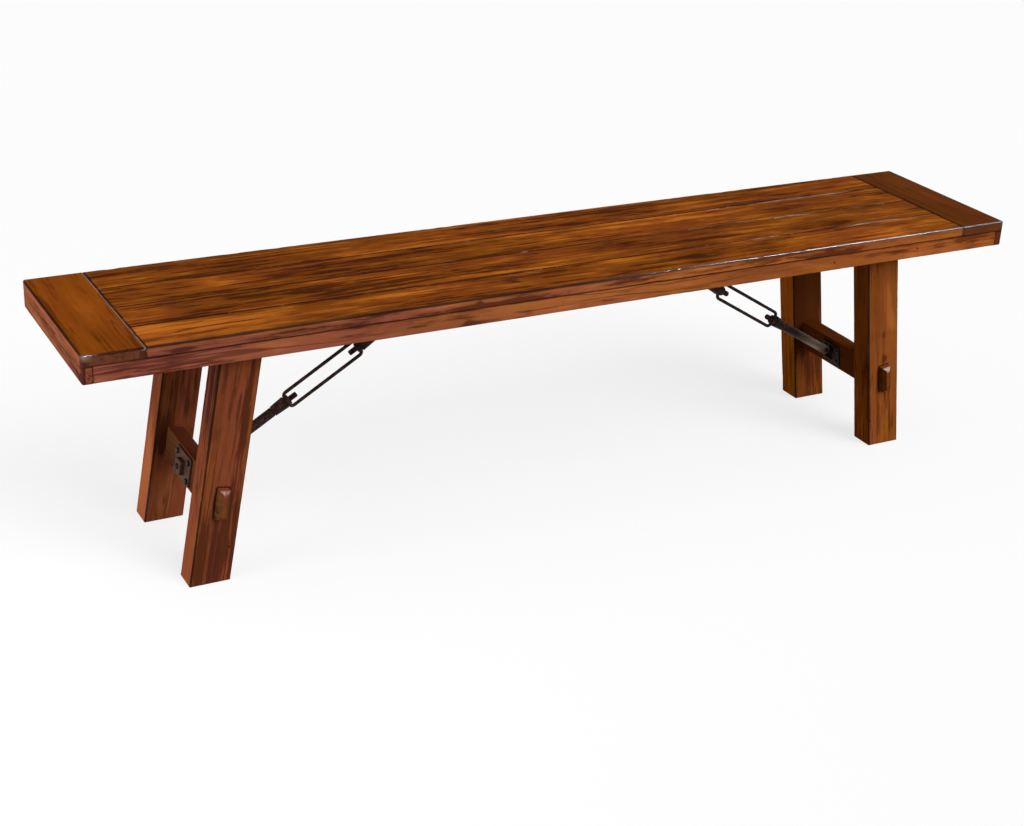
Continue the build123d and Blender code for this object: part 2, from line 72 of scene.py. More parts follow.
# The CAD box and the sizes that the frame gives, in metres
CAD_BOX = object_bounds()
SEAT_HALF_DEPTH = CAD_BOX[1].y
SEAT_TOP = CAD_BOX[1].z
END_BOARD_LOW, END_BOARD_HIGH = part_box("right_end_board")
DECK_UNDERSIDE = END_BOARD_LOW.z
STRIP_LOW, STRIP_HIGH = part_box("front_edge_strip")
END_STRIP_LOW, END_STRIP_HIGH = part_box("right_end_strip")
LEG_LOW, LEG_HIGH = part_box("right_back_leg")
TENON_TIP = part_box("right_stretcher")[1].y
JOINTS = {joint["child"]: joint for joint in frame["joints"]}
PLANK_NAMES = sorted(name for name in frame["nodes"] if name.startswith("seat_plank"))
SIDES = {"left": -1.0, "right": 1.0}
ROWS = {"front": -1.0, "back": 1.0}
QUARTERS = ((1, 1), (-1, 1), (-1, -1), (1, -1))

# How finely surfaces are divided
ARC_STEPS = 6
RIM_STEPS = 6
CAP_RINGS = (0.75, 0.5, 0.25)
TURN_STEPS = 40
BAR_STEPS = 16
BEND_STEPS = 9
FORK_STEPS = 25
CHEEK_STEPS = 7
SHANK_STEPS = 40
THREAD_ROWS = 8
RAIL_STEPS = 28
TENON_STEPS = 20
BEVEL_STEPS = 4
SHARP_ANGLE = radians(40)
SAME_PLACE = 2e-5

# Where the random draws of each kind of piece begin
PLANK_SEED = 11
END_BOARD_SEED = 21
EDGE_STRIP_SEED = 31
END_STRIP_SEED = 41
LEG_SEED = 51
STRETCHER_SEED = 61
ROD_SEED = 71
LOOP_SEED = 83
SLEEVE_SEED = 91

# Spacing of the timbers' planed waves, knocks and nicks, along the grain and across it, in metres
WAVE_SPACING = (0.13, 0.034, 0.034)
KNOCK_SPACING = (0.042, 0.016, 0.016)
NICK_SPACING = 0.011
NICK_SHARE = 0.5
KNOCK_FLOOR = 0.3

# How far from an edge, an end or a mortise its stain and wear reach, in metres
EDGE_REACH = 0.0014
RUB_REACH = 0.0006
KNOCK_REACH = 0.0035
END_REACH = 0.004
MORTISE_REACH = 0.003

# Strengths of the staining and wear in single places; the mortise's dark outline is also painted shade round
# the tenon, and the pale rubs at the seat's corners and on the tenons' upper bevels are also painted
# highlights
SIDE_STAIN = 0.65
MORTISE_STAIN_AND_SHADE = 1.1
CORNER_RUB_AND_HIGHLIGHT = 0.35
TENON_RUB_AND_HIGHLIGHT = 0.9
TENON_STAIN = 0.25

# Where in the log a board may have been cut: lowest and highest shift along, across and through it
LOG_LOW = (-9, 0.03, 0.04)
LOG_HIGH = (9, 0.11, 0.09)

# Legs and stretchers: rounding of a leg's ends, length over which its cuts turn level, sharper rail edges
LEG_RIM = 0.0015
LEVEL_REACH = 0.1
RAIL_ROUND_SHARE = 0.6

# Small measures of the braces, in metres; pairs are a place along the rod with a step inward or a radius
SLEEVE_GAP = 0.0005
SLOT_CORE = 0.0030
SLOT_ROUND = 0.0004
NECK_LENGTH = 0.002
NECK_DEPTH = 0.0003
SHOULDER_STEPS = ((0.0004, 0.0006), (0.0, 0.0014))
SHOULDER_LENGTH = 0.0012
STUB_POINT = ((0.0002, 0.0036), (0.0003, 0.001))
STUB_SHARE = 0.72
THREAD_FADE = 0.0015
CHEEK_RIM = 0.0007
EYE_RIM = 0.0012
SLEEVE_RIM = 0.0006
BAR_STEP = 0.004
FORGE_SPACING = 0.006
DENT_SPACING = 0.007
# The right lower rod is painted paler near its pin: painted light on its lower end
LIT_ROD = "right_lower_rod"
LIT_PLACE = 0.03
LIT_REACH = 0.035

# How an edge has aged: dark staining gathered along it, shine of its lacquer, and pale bare wood rubbed
# through, which at the left end board's joint is a painted highlight
SEAT_EDGE = (1.0, 1.0, 0.0)
OUTER_EDGE = (1.0, 0.5, 0.0)
GROOVE_EDGE = (1.1, 0.66, 0.0)
BUTT_EDGE = (1.1, 0.2, 0.0)
SEAM_EDGE = (0.82, 0.0, 0.0)
UNDER_EDGE = (0.5, 0.0, 0.0)
CORNER_EDGE = (1.0, 0.0, 0.0)
LEG_EDGE = (1.0, 0.60, 0.0)
PLAIN_EDGE = (0.0, 0.0, 0.0)

# How the seat's two ends differ: stained end grain, seams, shine that fades and joints with the planks
END_STAINS = {"left": 0.9, "right": 1.0}
STRIP_STAINS = {"left": 0.2, "right": 1.0}
END_SEAMS = {"left": (0.3, 0.0, 0.0), "right": SEAM_EDGE}
END_FADES = {"left": 0.8, "right": 0.0}
# At the left joint the pale third value is a painted highlight along the joint
JOINT_EDGES = {"left": (1.1, 0.4, 0.42), "right": (1.1, 0.2, 0.0)}

# Streaks in the boards: place along, place across, half length, half width, darkness (below 0 is paler)
BOARD_MARKS = {
    "seat_plank_1": (
        (-0.20, 0.012, 0.16, 0.005, 0.6), (0.55, -0.02, 0.20, 0.005, 0.5), (-0.66, 0.0, 0.20, 0.040, -1.5),
        (-0.15, 0.006, 0.012, 0.006, 1.2), (0.62, 0.0, 0.25, 0.060, -0.5),
    ),
    "seat_plank_2": (
        (-0.56, 0.010, 0.22, 0.005, 0.7), (0.18, -0.015, 0.25, 0.005, 0.5), (-0.38, 0.0, 0.20, 0.060, 0.35),
        (0.55, 0.0, 0.25, 0.060, -0.4),
    ),
    "seat_plank_3": (
        (-0.30, 0.020, 0.24, 0.005, 0.6), (0.45, 0.0, 0.28, 0.005, 0.6), (-0.40, 0.0, 0.22, 0.060, 0.35),
        (0.55, 0.0, 0.25, 0.060, -0.35),
    ),
    "seat_plank_4": ((-0.55, -0.01, 0.30, 0.005, 0.5), (0.10, 0.015, 0.26, 0.005, 0.6)),
    "left_end_board": ((0.0, 0.004, 0.12, 0.020, -0.5), (0.0, -0.046, 0.20, 0.012, 0.5)),
}

# Knots, streaks and dark corners in the timbers' sides, and painted light and shade on the legs' sides:
# place along, place up from the middle, and as above
SIDE_MARKS_AND_PAINTED_LIGHT = {
    "left_end_board": ((0.176, 0.0, 0.005, 0.030, 2.0),),
    "left_end_strip": ((0.176, 0.0, 0.006, 0.040, 2.0),),
    # Painted shade under the seat on the top of the left front leg's sides
    "left_front_leg": ((0.36, 0.0, 0.11, 0.060, 0.9),),
    # Painted light on the lower part of the left back leg's sides
    "left_back_leg": ((0.05, 0.0, 0.12, 0.060, -1.6),),
    # Painted light on the right back leg's sides
    "right_back_leg": ((0.22, 0.0, 0.30, 0.060, -1.8),),
    "seat_plank_1": (
        (-0.756, -0.004, 0.022, 0.003, 2.2), (-0.237, 0.003, 0.006, 0.004, 1.8),
        (-0.02, 0.001, 0.08, 0.002, 0.4), (0.03, -0.004, 0.05, 0.002, 0.4),
        (0.492, 0.002, 0.006, 0.005, 1.4), (0.70, 0.0, 0.05, 0.003, 0.8), (-0.70, 0.004, 0.10, 0.006, 0.6),
    ),
    "front_edge_strip": (
        (-0.255, -0.010, 0.009, 0.005, 1.8), (0.40, -0.004, 0.05, 0.005, 0.3),
        (0.66, 0.004, 0.06, 0.004, 0.9), (0.41, 0.0, 0.09, 0.040, -0.9), (0.83, 0.0, 0.03, 0.006, 0.9),
        (0.74, 0.0, 0.12, 0.040, 0.6),
    ),
}

# Dark and pale places in the legs: place up the leg, place outward, half length, half width, darkness; on
# the back legs some are painted light and shade
LEG_MARKS_AND_PAINTED_LIGHT = {
    "left_front_leg": ((0.34, -0.021, 0.085, 0.0045, 2.6), (0.04, 0.0, 0.09, 0.060, 1.4)),
    "right_front_leg": (
        (0.192, 0.004, 0.006, 0.005, 1.6), (0.112, 0.006, 0.016, 0.004, 1.0),
        (0.30, -0.012, 0.030, 0.012, 0.6), (0.245, 0.002, 0.007, 0.040, 0.6),
        (0.36, -0.02, 0.05, 0.012, 0.5), (0.33, 0.014, 0.05, 0.008, -1.4), (0.27, 0.022, 0.03, 0.008, -1.2),
        (0.20, -0.014, 0.05, 0.010, -0.8), (0.31, -0.004, 0.05, 0.014, -0.9), (0.04, 0.0, 0.08, 0.060, 0.5),
    ),
    # Painted light on the pale foot; painted shade on the dark upper part, under the seat, and a painted
    # shadow of the stretcher beside it
    "left_back_leg": (
        (0.05, 0.0, 0.07, 0.060, -0.9), (0.30, 0.0, 0.14, 0.060, 0.5), (0.165, 0.024, 0.035, 0.012, 1.5),
    ),
    # Painted shade on the dark upper part, under the seat, and a painted shadow of the stretcher beside it;
    # the foot a little darker
    "right_back_leg": (
        (0.30, 0.0, 0.16, 0.060, 2.7), (0.165, -0.026, 0.035, 0.012, 1.5), (0.05, 0.0, 0.12, 0.060, 0.3),
    ),
}


class TimberSettings(PropertyGroup):
    """Shapes and colours of the wooden pieces."""

    plank_round: FloatProperty(
        name="Plank edge", description="Rounding along the vee grooves",
        default=0.0014, unit="LENGTH")
    seat_round: FloatProperty(
        name="Seat edge", description="Rounding along the seat's upper edge",
        default=0.0025, unit="LENGTH")
    seam_round: FloatProperty(
        name="Seam edge", description="Rounding where the deck meets the edge strips",
        default=0.0009, unit="LENGTH")
    corner_round: FloatProperty(
        name="Seat corner", description="Rounding of the seat's four corners, seen from above",
        default=0.005, unit="LENGTH")
    leg_round: FloatProperty(
        name="Leg edge", description="Rounding along the legs", default=0.0021, unit="LENGTH")
    leg_splay: FloatProperty(
        name="Leg splay", description="How far the legs lean along the bench",
        default=radians(9), subtype="ANGLE")
    stretcher_up: FloatProperty(
        name="Stretcher height", description="From the floor up the leg to the stretcher's middle",
        default=0.1507, unit="LENGTH")
    stretcher_thick: FloatProperty(
        name="Stretcher thickness", description="Across the rail", default=0.028, unit="LENGTH")
    stretcher_tall: FloatProperty(
        name="Stretcher depth", description="Up the rail", default=0.06, unit="LENGTH")
    tenon_thick: FloatProperty(
        name="Tenon thickness", description="Across the through tenon", default=0.02, unit="LENGTH")
    tenon_tall: FloatProperty(
        name="Tenon depth", description="Up the through tenon", default=0.054, unit="LENGTH")
    tenon_bevel: FloatProperty(
        name="Tenon bevel", description="Bevel round the tenon's end", default=0.006, unit="LENGTH")
    mortise_gap: FloatProperty(
        name="Mortise gap", description="Dark line left round the tenon", default=0.0004, unit="LENGTH")
    wave_depth: FloatProperty(
        name="Hand planing", description="Depth of the slow waves in a planed face",
        default=0.0002, unit="LENGTH")
    knock_depth: FloatProperty(
        name="Edge wear", description="Depth of the knocks along the edges", default=0.0011, unit="LENGTH")
    grid_step: FloatProperty(
        name="Grid step", description="Distance between points of a timber's surface",
        default=0.004, unit="LENGTH")
    seat_light: FloatVectorProperty(
        name="Seat light", description="Amber between the grain lines of the seat",
        default=(0.450, 0.132, 0.013), subtype="COLOR", min=0, max=1)
    seat_middle: FloatVectorProperty(
        name="Seat middle", description="Main brown of the seat",
        default=(0.205, 0.052, 0.006), subtype="COLOR", min=0, max=1)
    seat_dark: FloatVectorProperty(
        name="Seat dark", description="Dark grain lines of the seat",
        default=(0.066, 0.016, 0.004), subtype="COLOR", min=0, max=1)
    end_light: FloatVectorProperty(
        name="End light", description="Gold between the grain lines of the end boards",
        default=(0.280, 0.072, 0.006), subtype="COLOR", min=0, max=1)
    end_middle: FloatVectorProperty(
        name="End middle", description="Main golden brown of the end boards",
        default=(0.205, 0.050, 0.004), subtype="COLOR", min=0, max=1)
    end_dark: FloatVectorProperty(
        name="End dark", description="Dark grain lines of the end boards",
        default=(0.098, 0.024, 0.003), subtype="COLOR", min=0, max=1)
    edge_light: FloatVectorProperty(
        name="Edge light", description="Red-brown between the grain lines of the seat's sides",
        default=(0.535, 0.184, 0.090), subtype="COLOR", min=0, max=1)
    edge_middle: FloatVectorProperty(
        name="Edge middle", description="Main red-brown of the seat's sides",
        default=(0.340, 0.106, 0.053), subtype="COLOR", min=0, max=1)
    edge_dark: FloatVectorProperty(
        name="Edge dark", description="Dark grain lines of the seat's sides",
        default=(0.125, 0.034, 0.020), subtype="COLOR", min=0, max=1)
    leg_light: FloatVectorProperty(
        name="Leg light", description="Red-brown between the grain lines of the legs",
        default=(0.285, 0.083, 0.029), subtype="COLOR", min=0, max=1)
    leg_middle: FloatVectorProperty(
        name="Leg middle", description="Main red-brown of the legs",
        default=(0.190, 0.050, 0.017), subtype="COLOR", min=0, max=1)
    leg_dark: FloatVectorProperty(
        name="Leg dark", description="Dark grain lines of the legs",
        default=(0.075, 0.019, 0.008), subtype="COLOR", min=0, max=1)
    rubbed_dark: FloatVectorProperty(
        name="Rubbed edge", description="Stain that has gathered along edges and grooves",
        default=(0.016, 0.007, 0.005), subtype="COLOR", min=0, max=1)
    end_grain: FloatVectorProperty(
        name="End grain", description="Stain soaked into the boards' ends",
        default=(0.050, 0.016, 0.009), subtype="COLOR", min=0, max=1)
    # Pale colour of bare edges, also used as painted highlight at the left joint, the seat's corners and the
    # tenons' upper bevels
    pale_wear_and_highlight: FloatVectorProperty(
        name="Worn edge", description="Bare places worn along the edges",
        default=(0.42, 0.31, 0.24), subtype="COLOR", min=0, max=1)


class IronSettings(PropertyGroup):
    """Shapes and colours of the iron braces."""

    rod_radius: FloatProperty(
        name="Rod radius", description="Of the plain shank", default=0.0088, unit="LENGTH")
    fork_reach: FloatProperty(
        name="Fork reach", description="From the pin to the end of the fork's flats",
        default=0.017, unit="LENGTH")
    fork_inner: FloatProperty(
        name="Fork slot", description="Half of the slot between the cheeks", default=0.0035, unit="LENGTH")
    fork_outer: FloatProperty(
        name="Fork half thickness", description="From the middle to a cheek's outer face",
        default=0.0075, unit="LENGTH")
    slot_end: FloatProperty(
        name="Slot end", description="From the pin to the bottom of the slot", default=0.011, unit="LENGTH")
    thread_radius: FloatProperty(
        name="Thread radius", description="Of the thread's crest", default=0.0052, unit="LENGTH")
    thread_depth: FloatProperty(
        name="Thread depth", description="From crest to root", default=0.0008, unit="LENGTH")
    thread_pitch: FloatProperty(
        name="Thread pitch", description="Along the rod for each turn", default=0.00175, unit="LENGTH")
    thread_reach: FloatProperty(
        name="Thread reach", description="How far the stub shows inside the loop",
        default=0.015, unit="LENGTH")
    loop_length: FloatProperty(
        name="Loop length", description="Outside, along the rod", default=0.164, unit="LENGTH")
    loop_width: FloatProperty(
        name="Loop width", description="Outside, across the rod", default=0.0376, unit="LENGTH")
    bar_radius: FloatProperty(
        name="Bar radius", description="Of the loop's round bar", default=0.0033, unit="LENGTH")
    bend_radius: FloatProperty(
        name="Bend radius", description="Of the loop's corners at the bar's middle",
        default=0.007, unit="LENGTH")
    eye_radius: FloatProperty(
        name="Eye radius", description="Of the boss in the loop's end", default=0.009, unit="LENGTH")
    eye_length: FloatProperty(
        name="Eye length", description="Along the rod", default=0.009, unit="LENGTH")
    bore_radius: FloatProperty(
        name="Bore radius", description="Of the eyes and sleeves", default=0.00525, unit="LENGTH")
    sleeve_length: FloatProperty(
        name="Sleeve length", description="Along the rod", default=0.027, unit="LENGTH")
    sleeve_large: FloatProperty(
        name="Sleeve root", description="Radius beside the loop", default=0.0113, unit="LENGTH")
    sleeve_small: FloatProperty(
        name="Sleeve tip", description="Radius at the far end", default=0.0098, unit="LENGTH")
    hammer_depth: FloatProperty(
        name="Hammering", description="Depth of the forging marks", default=0.00025, unit="LENGTH")
    iron_dark: FloatVectorProperty(
        name="Iron", description="Dark antique finish",
        default=(0.017, 0.009, 0.008), subtype="COLOR", min=0, max=1)
    iron_rust: FloatVectorProperty(
        name="Rusted iron", description="Brown of the plates and nuts on the stretchers' outer sides",
        default=(0.115, 0.045, 0.022), subtype="COLOR", min=0, max=1)
    # Painted light: the pale grey-brown painted on the right lower rod near its pin, where light falls on it
    iron_painted_light: FloatVectorProperty(
        name="Worn iron", description="Grey-brown where hands and weather have worn the rods",
        default=(0.34, 0.245, 0.185), subtype="COLOR", min=0, max=1)
    iron_brown: FloatVectorProperty(
        name="Rubbed iron", description="Brown where the finish is thin",
        default=(0.060, 0.033, 0.026), subtype="COLOR", min=0, max=1)


class StageSettings(PropertyGroup):
    """The camera, the lights and the floor."""

    azimuth: FloatProperty(
        name="Azimuth", description="Camera heading, from the bench's front towards its right end",
        default=radians(28.926998), subtype="ANGLE")
    elevation: FloatProperty(
        name="Elevation", description="How far the camera looks down",
        default=radians(24.656038), subtype="ANGLE")
    roll: FloatProperty(
        name="Roll", description="Tilt of the picture", default=radians(2.784598), subtype="ANGLE")
    distance: FloatProperty(
        name="Distance", description="From the camera to its target", default=3.137079, unit="LENGTH")
    target: FloatVectorProperty(
        name="Target", description="Where the camera looks",
        default=(-0.164124, -0.175471, 0.231375), subtype="TRANSLATION", unit="LENGTH")
    lens: FloatProperty(
        name="Lens", description="Focal length in millimetres on a 36 mm sensor", default=63.065331)
    floor_size: FloatProperty(
        name="Floor size", description="Half the width of the floor", default=14.0, unit="LENGTH")
    floor_colour: FloatVectorProperty(
        name="Floor", description="Pale studio floor, as the camera sees it", default=(0.95, 0.95, 0.95),
        subtype="COLOR", min=0, max=1)
    floor_bounce: FloatVectorProperty(
        name="Floor bounce", description="Floor colour that lights the bench from below",
        default=(0.42, 0.41, 0.40), subtype="COLOR", min=0, max=1)
    shadow_lift: FloatProperty(
        name="Shadow lift", description="How far the floor's shadow is lightened", default=0.76)
    sky_high: FloatProperty(
        name="Overhead light", description="Strength of the soft light overhead", default=0.8)
    sky_low: FloatProperty(
        name="Horizon light", description="Strength of the soft light near the horizon", default=0.03)
    key_strength: FloatProperty(
        name="Key light", description="Strength of the broad light high in front", default=1.8)
    fill_strength: FloatProperty(
        name="Front light", description="Strength of the broad light low in front", default=1.2)
    left_power: FloatProperty(
        name="Left light", description="Power of the soft box at the left end, in watts", default=17.0)
    left_place: FloatVectorProperty(
        name="Left light's place", description="Middle of the soft box at the left end",
        default=(-2.2, -0.35, 0.5), subtype="TRANSLATION", unit="LENGTH")
    glint_strength: FloatProperty(
        name="Edge light", description="Strength of the narrow light that catches the edges", default=2.0)
    corner_strength: FloatProperty(
        name="Corner light", description="Strength of the narrow light that catches the left corner",
        default=1.6)


def settings():
    """The three groups of settings, kept on the scene."""
    scene = bpy.context.scene
    return scene.bench_timber, scene.bench_iron, scene.bench_stage


# Surfaces

def solid_noise(points, spacing, seed):
    """Value noise: random heights from -1 to 1 on a lattice of that spacing, joined by smooth steps."""
    scaled = points / np.asarray(spacing)
    cell = np.floor(scaled).astype(np.int64)
    part = scaled - cell
    ease = part * part * (3 - 2 * part)
    total = np.zeros(points.shape[:-1])
    for corner in np.ndindex(2, 2, 2):
        index = cell + np.array(corner)
        mixed = index @ np.array([374761393, 668265263, 2147483647]) + seed * 1274126177
        mixed = (mixed ^ (mixed >> 13)) * 1274126177 & 0x7FFFFFFF
        height = ((mixed ^ (mixed >> 16)) & 0xFFFF) / 32767.5 - 1
        weight = np.where(np.array(corner) == 1, ease, 1 - ease).prod(axis=-1)
        total += height * weight
    return total


def carried(axes, points):
    """Points given along a piece's own three axes, carried into the bench's frame."""
    origin, *directions = (np.asarray(vector, float) for vector in axes)
    return origin + points @ np.stack(directions)


def own_axes(origin, along, wide):
    """An origin with three square directions: along, wide and the third that completes them."""
    along = np.asarray(along, float)
    wide = np.asarray(wide, float)
    return np.asarray(origin, float), along, wide, np.cross(along, wide)


def tube_faces(rows, columns, ring_of_rows=False):
    """Quads of a grid whose columns close round, and whose rows may close too."""
    row_count = rows if ring_of_rows else rows - 1
    row, column = np.meshgrid(np.arange(row_count), np.arange(columns), indexing="ij")
    next_row = (row + 1) % rows
    next_column = (column + 1) % columns
    quads = [row * columns + column, row * columns + next_column]
    quads += [next_row * columns + next_column, next_row * columns + column]
    return np.stack(quads, axis=-1).reshape(-1, 4)


def pole_faces(first_ring, last_ring, first_pole, last_pole):
    """Triangles from each end ring of a tube to the single point that closes it."""
    start = np.stack([np.roll(first_ring, -1), first_ring, np.full_like(first_ring, first_pole)], -1)
    end = np.stack([last_ring, np.roll(last_ring, -1), np.full_like(last_ring, last_pole)], -1)
    return np.concatenate([start, end])


def closed_by_poles(grid, ends=None):
    """Points and faces of a tube whose end rings close on single points: given ones, or the rings' means."""
    rows, columns = grid.shape[:2]
    ends = grid[[0, -1]].mean(axis=1) if ends is None else ends
    points = np.concatenate([grid.reshape(-1, 3), ends])
    last = rows * columns
    poles = pole_faces(np.arange(columns), np.arange(columns) + last - columns, last, last + 1)
    return points, [tube_faces(rows, columns), poles]


def closed_ring(grid):
    """Points and faces of a grid that closes both ways, as a ring does."""
    rows, columns = grid.shape[:2]
    return grid.reshape(-1, 3), [tube_faces(rows, columns, True)]


def new_piece(name, points, faces, material, body, attributes=None):
    """A mesh object from whole arrays, riding on a body and standing for the CAD node of its name."""
    corners = [points[face] for face in faces]
    volume = sum(
        np.einsum("ij,ij->", shape[:, 0], np.cross(shape[:, step], shape[:, step + 1]))
        for shape in corners
        for step in range(1, shape.shape[1] - 1)
    )
    if volume < 0:
        faces = [face[:, ::-1] for face in faces]
    mesh = bpy.data.meshes.new(name)
    mesh.from_pydata(points.tolist(), [], [face for group in faces for face in group.tolist()])
    mesh.polygons.foreach_set("use_smooth", np.ones(len(mesh.polygons), dtype=bool))
    for label, values in (attributes or {}).items():
        kind = "FLOAT_VECTOR" if values.ndim == 2 else "FLOAT"
        field = "vector" if values.ndim == 2 else "value"
        layer = mesh.attributes.new(label, kind, "POINT")
        layer.data.foreach_set(field, np.ascontiguousarray(values, np.float32).ravel())
    mesh.set_sharp_from_angle(angle=SHARP_ANGLE)
    mesh.materials.append(material)
    mesh.update()
    piece = bpy.data.objects.new(name, mesh)
    bpy.context.scene.collection.objects.link(piece)
    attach(piece, body)
    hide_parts(name)


def joined(parts):
    """Several closed surfaces, each a pair of points and face groups, as one."""
    points = []
    faces = []
    start = 0
    for part_points, part_faces in parts:
        points.append(part_points)
        faces += [group + start for group in part_faces]
        start += len(part_points)
    return np.concatenate(points), faces


# Timbers

def section(half_wide, half_thick, radii, side_counts, breaks):
    """Rounded rectangles, one for each station: corner = centre + radius (cos t, sin t), sides straight.

    Returns places and outward normals across and through the timber, the distance to the nearest edge
    and that edge's number. Points of the wide sides move to the given breaks, where a mortise opens.
    """
    stations = len(half_wide)
    turn = np.linspace(0, np.pi / 2, ARC_STEPS + 1)
    arcs = []
    for quarter, (sign_wide, sign_thick) in enumerate(QUARTERS):
        radius = np.minimum(radii[quarter], np.minimum(half_wide, half_thick))[:, None]
        angle = turn + quarter * np.pi / 2
        normal = np.broadcast_to(np.stack([np.cos(angle), np.sin(angle)], -1), (stations, ARC_STEPS + 1, 2))
        middle_wide = sign_wide * (half_wide[:, None] - radius)
        middle_thick = sign_thick * (half_thick[:, None] - radius)
        middle = np.stack(np.broadcast_arrays(middle_wide, middle_thick), -1)
        arcs.append((middle + radius[..., None] * normal, normal))
    places = []
    normals = []
    distances = []
    nearest = []
    for quarter in range(4):
        arc, normal = arcs[quarter]
        following = arcs[(quarter + 1) % 4][0]
        step = np.linspace(0, 1, side_counts[quarter] + 2)[1:-1]
        fraction = step - 0.6 * np.sin(2 * np.pi * step) / (2 * np.pi)
        start = arc[:, -1:]
        run = following[:, :1] - start
        length = np.linalg.norm(run, axis=-1)
        for place in breaks if quarter in (0, 2) else ():
            target = (place - start[len(start) // 2, 0, 0]) / run[len(run) // 2, 0, 0]
            fraction[np.abs(fraction - target).argmin()] = target
        side = start + run * fraction[None, :, None]
        places += [arc, side]
        normals += [normal, np.broadcast_to(normal[:, -1:], side.shape)]
        distances += [np.zeros(arc.shape[:2]), np.minimum(fraction, 1 - fraction) * length]
        nearest += [np.full(ARC_STEPS + 1, quarter), np.where(fraction < 0.5, quarter, (quarter + 1) % 4)]
    return (
        np.concatenate(places, 1), np.concatenate(normals, 1),
        np.concatenate(distances, 1), np.concatenate(nearest),
    )


def even_stations(half_length, rim, step):
    """Places along a timber: even in the middle, and end - rim (1 - sin t) over the rim at each end."""
    turn = np.linspace(0, np.pi / 2, RIM_STEPS + 1)
    end = half_length - rim * (1 - np.sin(turn))
    count = max(int(round(2 * (half_length - rim) / step)), 2)
    middle = np.linspace(rim - half_length, half_length - rim, count + 1)[1:-1]
    return np.concatenate([-end[::-1], middle, end])


def end_round(distance, radius):
    """How far a side is drawn in near an end: r - sqrt(r^2 - (r - d)^2) within r of it."""
    depth = np.clip(radius - distance, 0, radius)
    return radius - np.sqrt(radius**2 - depth**2)


def mortise_faces(faces, columns, row_span, near_span, far_span):
    """Opens a through mortise in a timber's grid: two mouths lose their quads, and walls join them."""
    row = faces[:, 0] // columns
    column = faces[:, 0] % columns
    inside = (row >= row_span[0]) & (row < row_span[1])
    mouths = [(column >= span[0]) & (column < span[1]) for span in (near_span, far_span)]
    kept = faces[~(inside & (mouths[0] | mouths[1]))]
    near = np.arange(near_span[0], near_span[1] + 1)
    far = np.arange(far_span[1], far_span[0] - 1, -1)
    rows = np.arange(row_span[0], row_span[1] + 1)
    rim_rows = np.concatenate([
        np.full(len(near), rows[0]), rows[1:], np.full(len(near) - 1, rows[-1]), rows[-2:0:-1],
    ])

    def rim(across):
        """Numbers of the points round one mouth, from its columns in order."""
        up = np.full(len(rows) - 1, across[-1])
        down = np.full(len(rows) - 2, across[0])
        return rim_rows * columns + np.concatenate([across, up, across[-2::-1], down])

    near_rim = rim(near)
    far_rim = rim(far)
    walls = np.stack([near_rim, np.roll(near_rim, -1), np.roll(far_rim, -1), far_rim], -1)
    return np.concatenate([kept, walls])


def mortise_spans(places, middle, mortise):
    """The rows and the columns on either side of a timber's grid between which its mortise opens."""
    half_mouth, low, high = mortise
    mouth = [np.flatnonzero(np.abs(middle[:, 0] - sign * half_mouth) < SAME_PLACE) for sign in (1, -1)]
    above = [found[middle[found, 1] > 0][0] for found in mouth]
    below = [found[middle[found, 1] < 0][0] for found in mouth]
    row_span = [int(np.abs(places - limit).argmin()) + len(CAP_RINGS) for limit in (low, high)]
    return row_span, above, below[::-1]


def planed_depth(own, edge_distance, end_distance, stained, seed):
    """Depth of the planed waves and of the knocks near an edge: value noise that dies away at the ends."""
    timber_set = settings()[0]
    wave = (solid_noise(own, WAVE_SPACING, seed) + 1) / 2
    nick = NICK_SHARE * solid_noise(own, NICK_SPACING, seed + 2)
    knock = np.clip(solid_noise(own, KNOCK_SPACING, seed + 1) + nick - KNOCK_FLOOR, 0, None)
    knock = knock * np.exp(-(edge_distance / KNOCK_REACH) ** 2) * stained
    soft_end = 1 - np.exp(-(end_distance / END_REACH) ** 2)
    return (timber_set.wave_depth * wave + timber_set.knock_depth * knock) * soft_end


def marked(along, ring, normal, marks, side_marks):
    """Soft spots on a timber's faces and sides: the sum of amount exp(-(a / length)^2 - (b / width)^2)."""
    stain_and_shade = np.zeros(ring.shape[:2])
    for axis, spots in ((0, marks), (1, side_marks)):
        shown = np.abs(normal[..., 1 - axis]) > 0.5
        for place, across, half_length, half_width, amount in spots:
            spot = ((along - place) / half_length) ** 2 + ((ring[..., axis] - across) / half_width) ** 2
            stain_and_shade += amount * np.exp(-spot) * shown
    return stain_and_shade


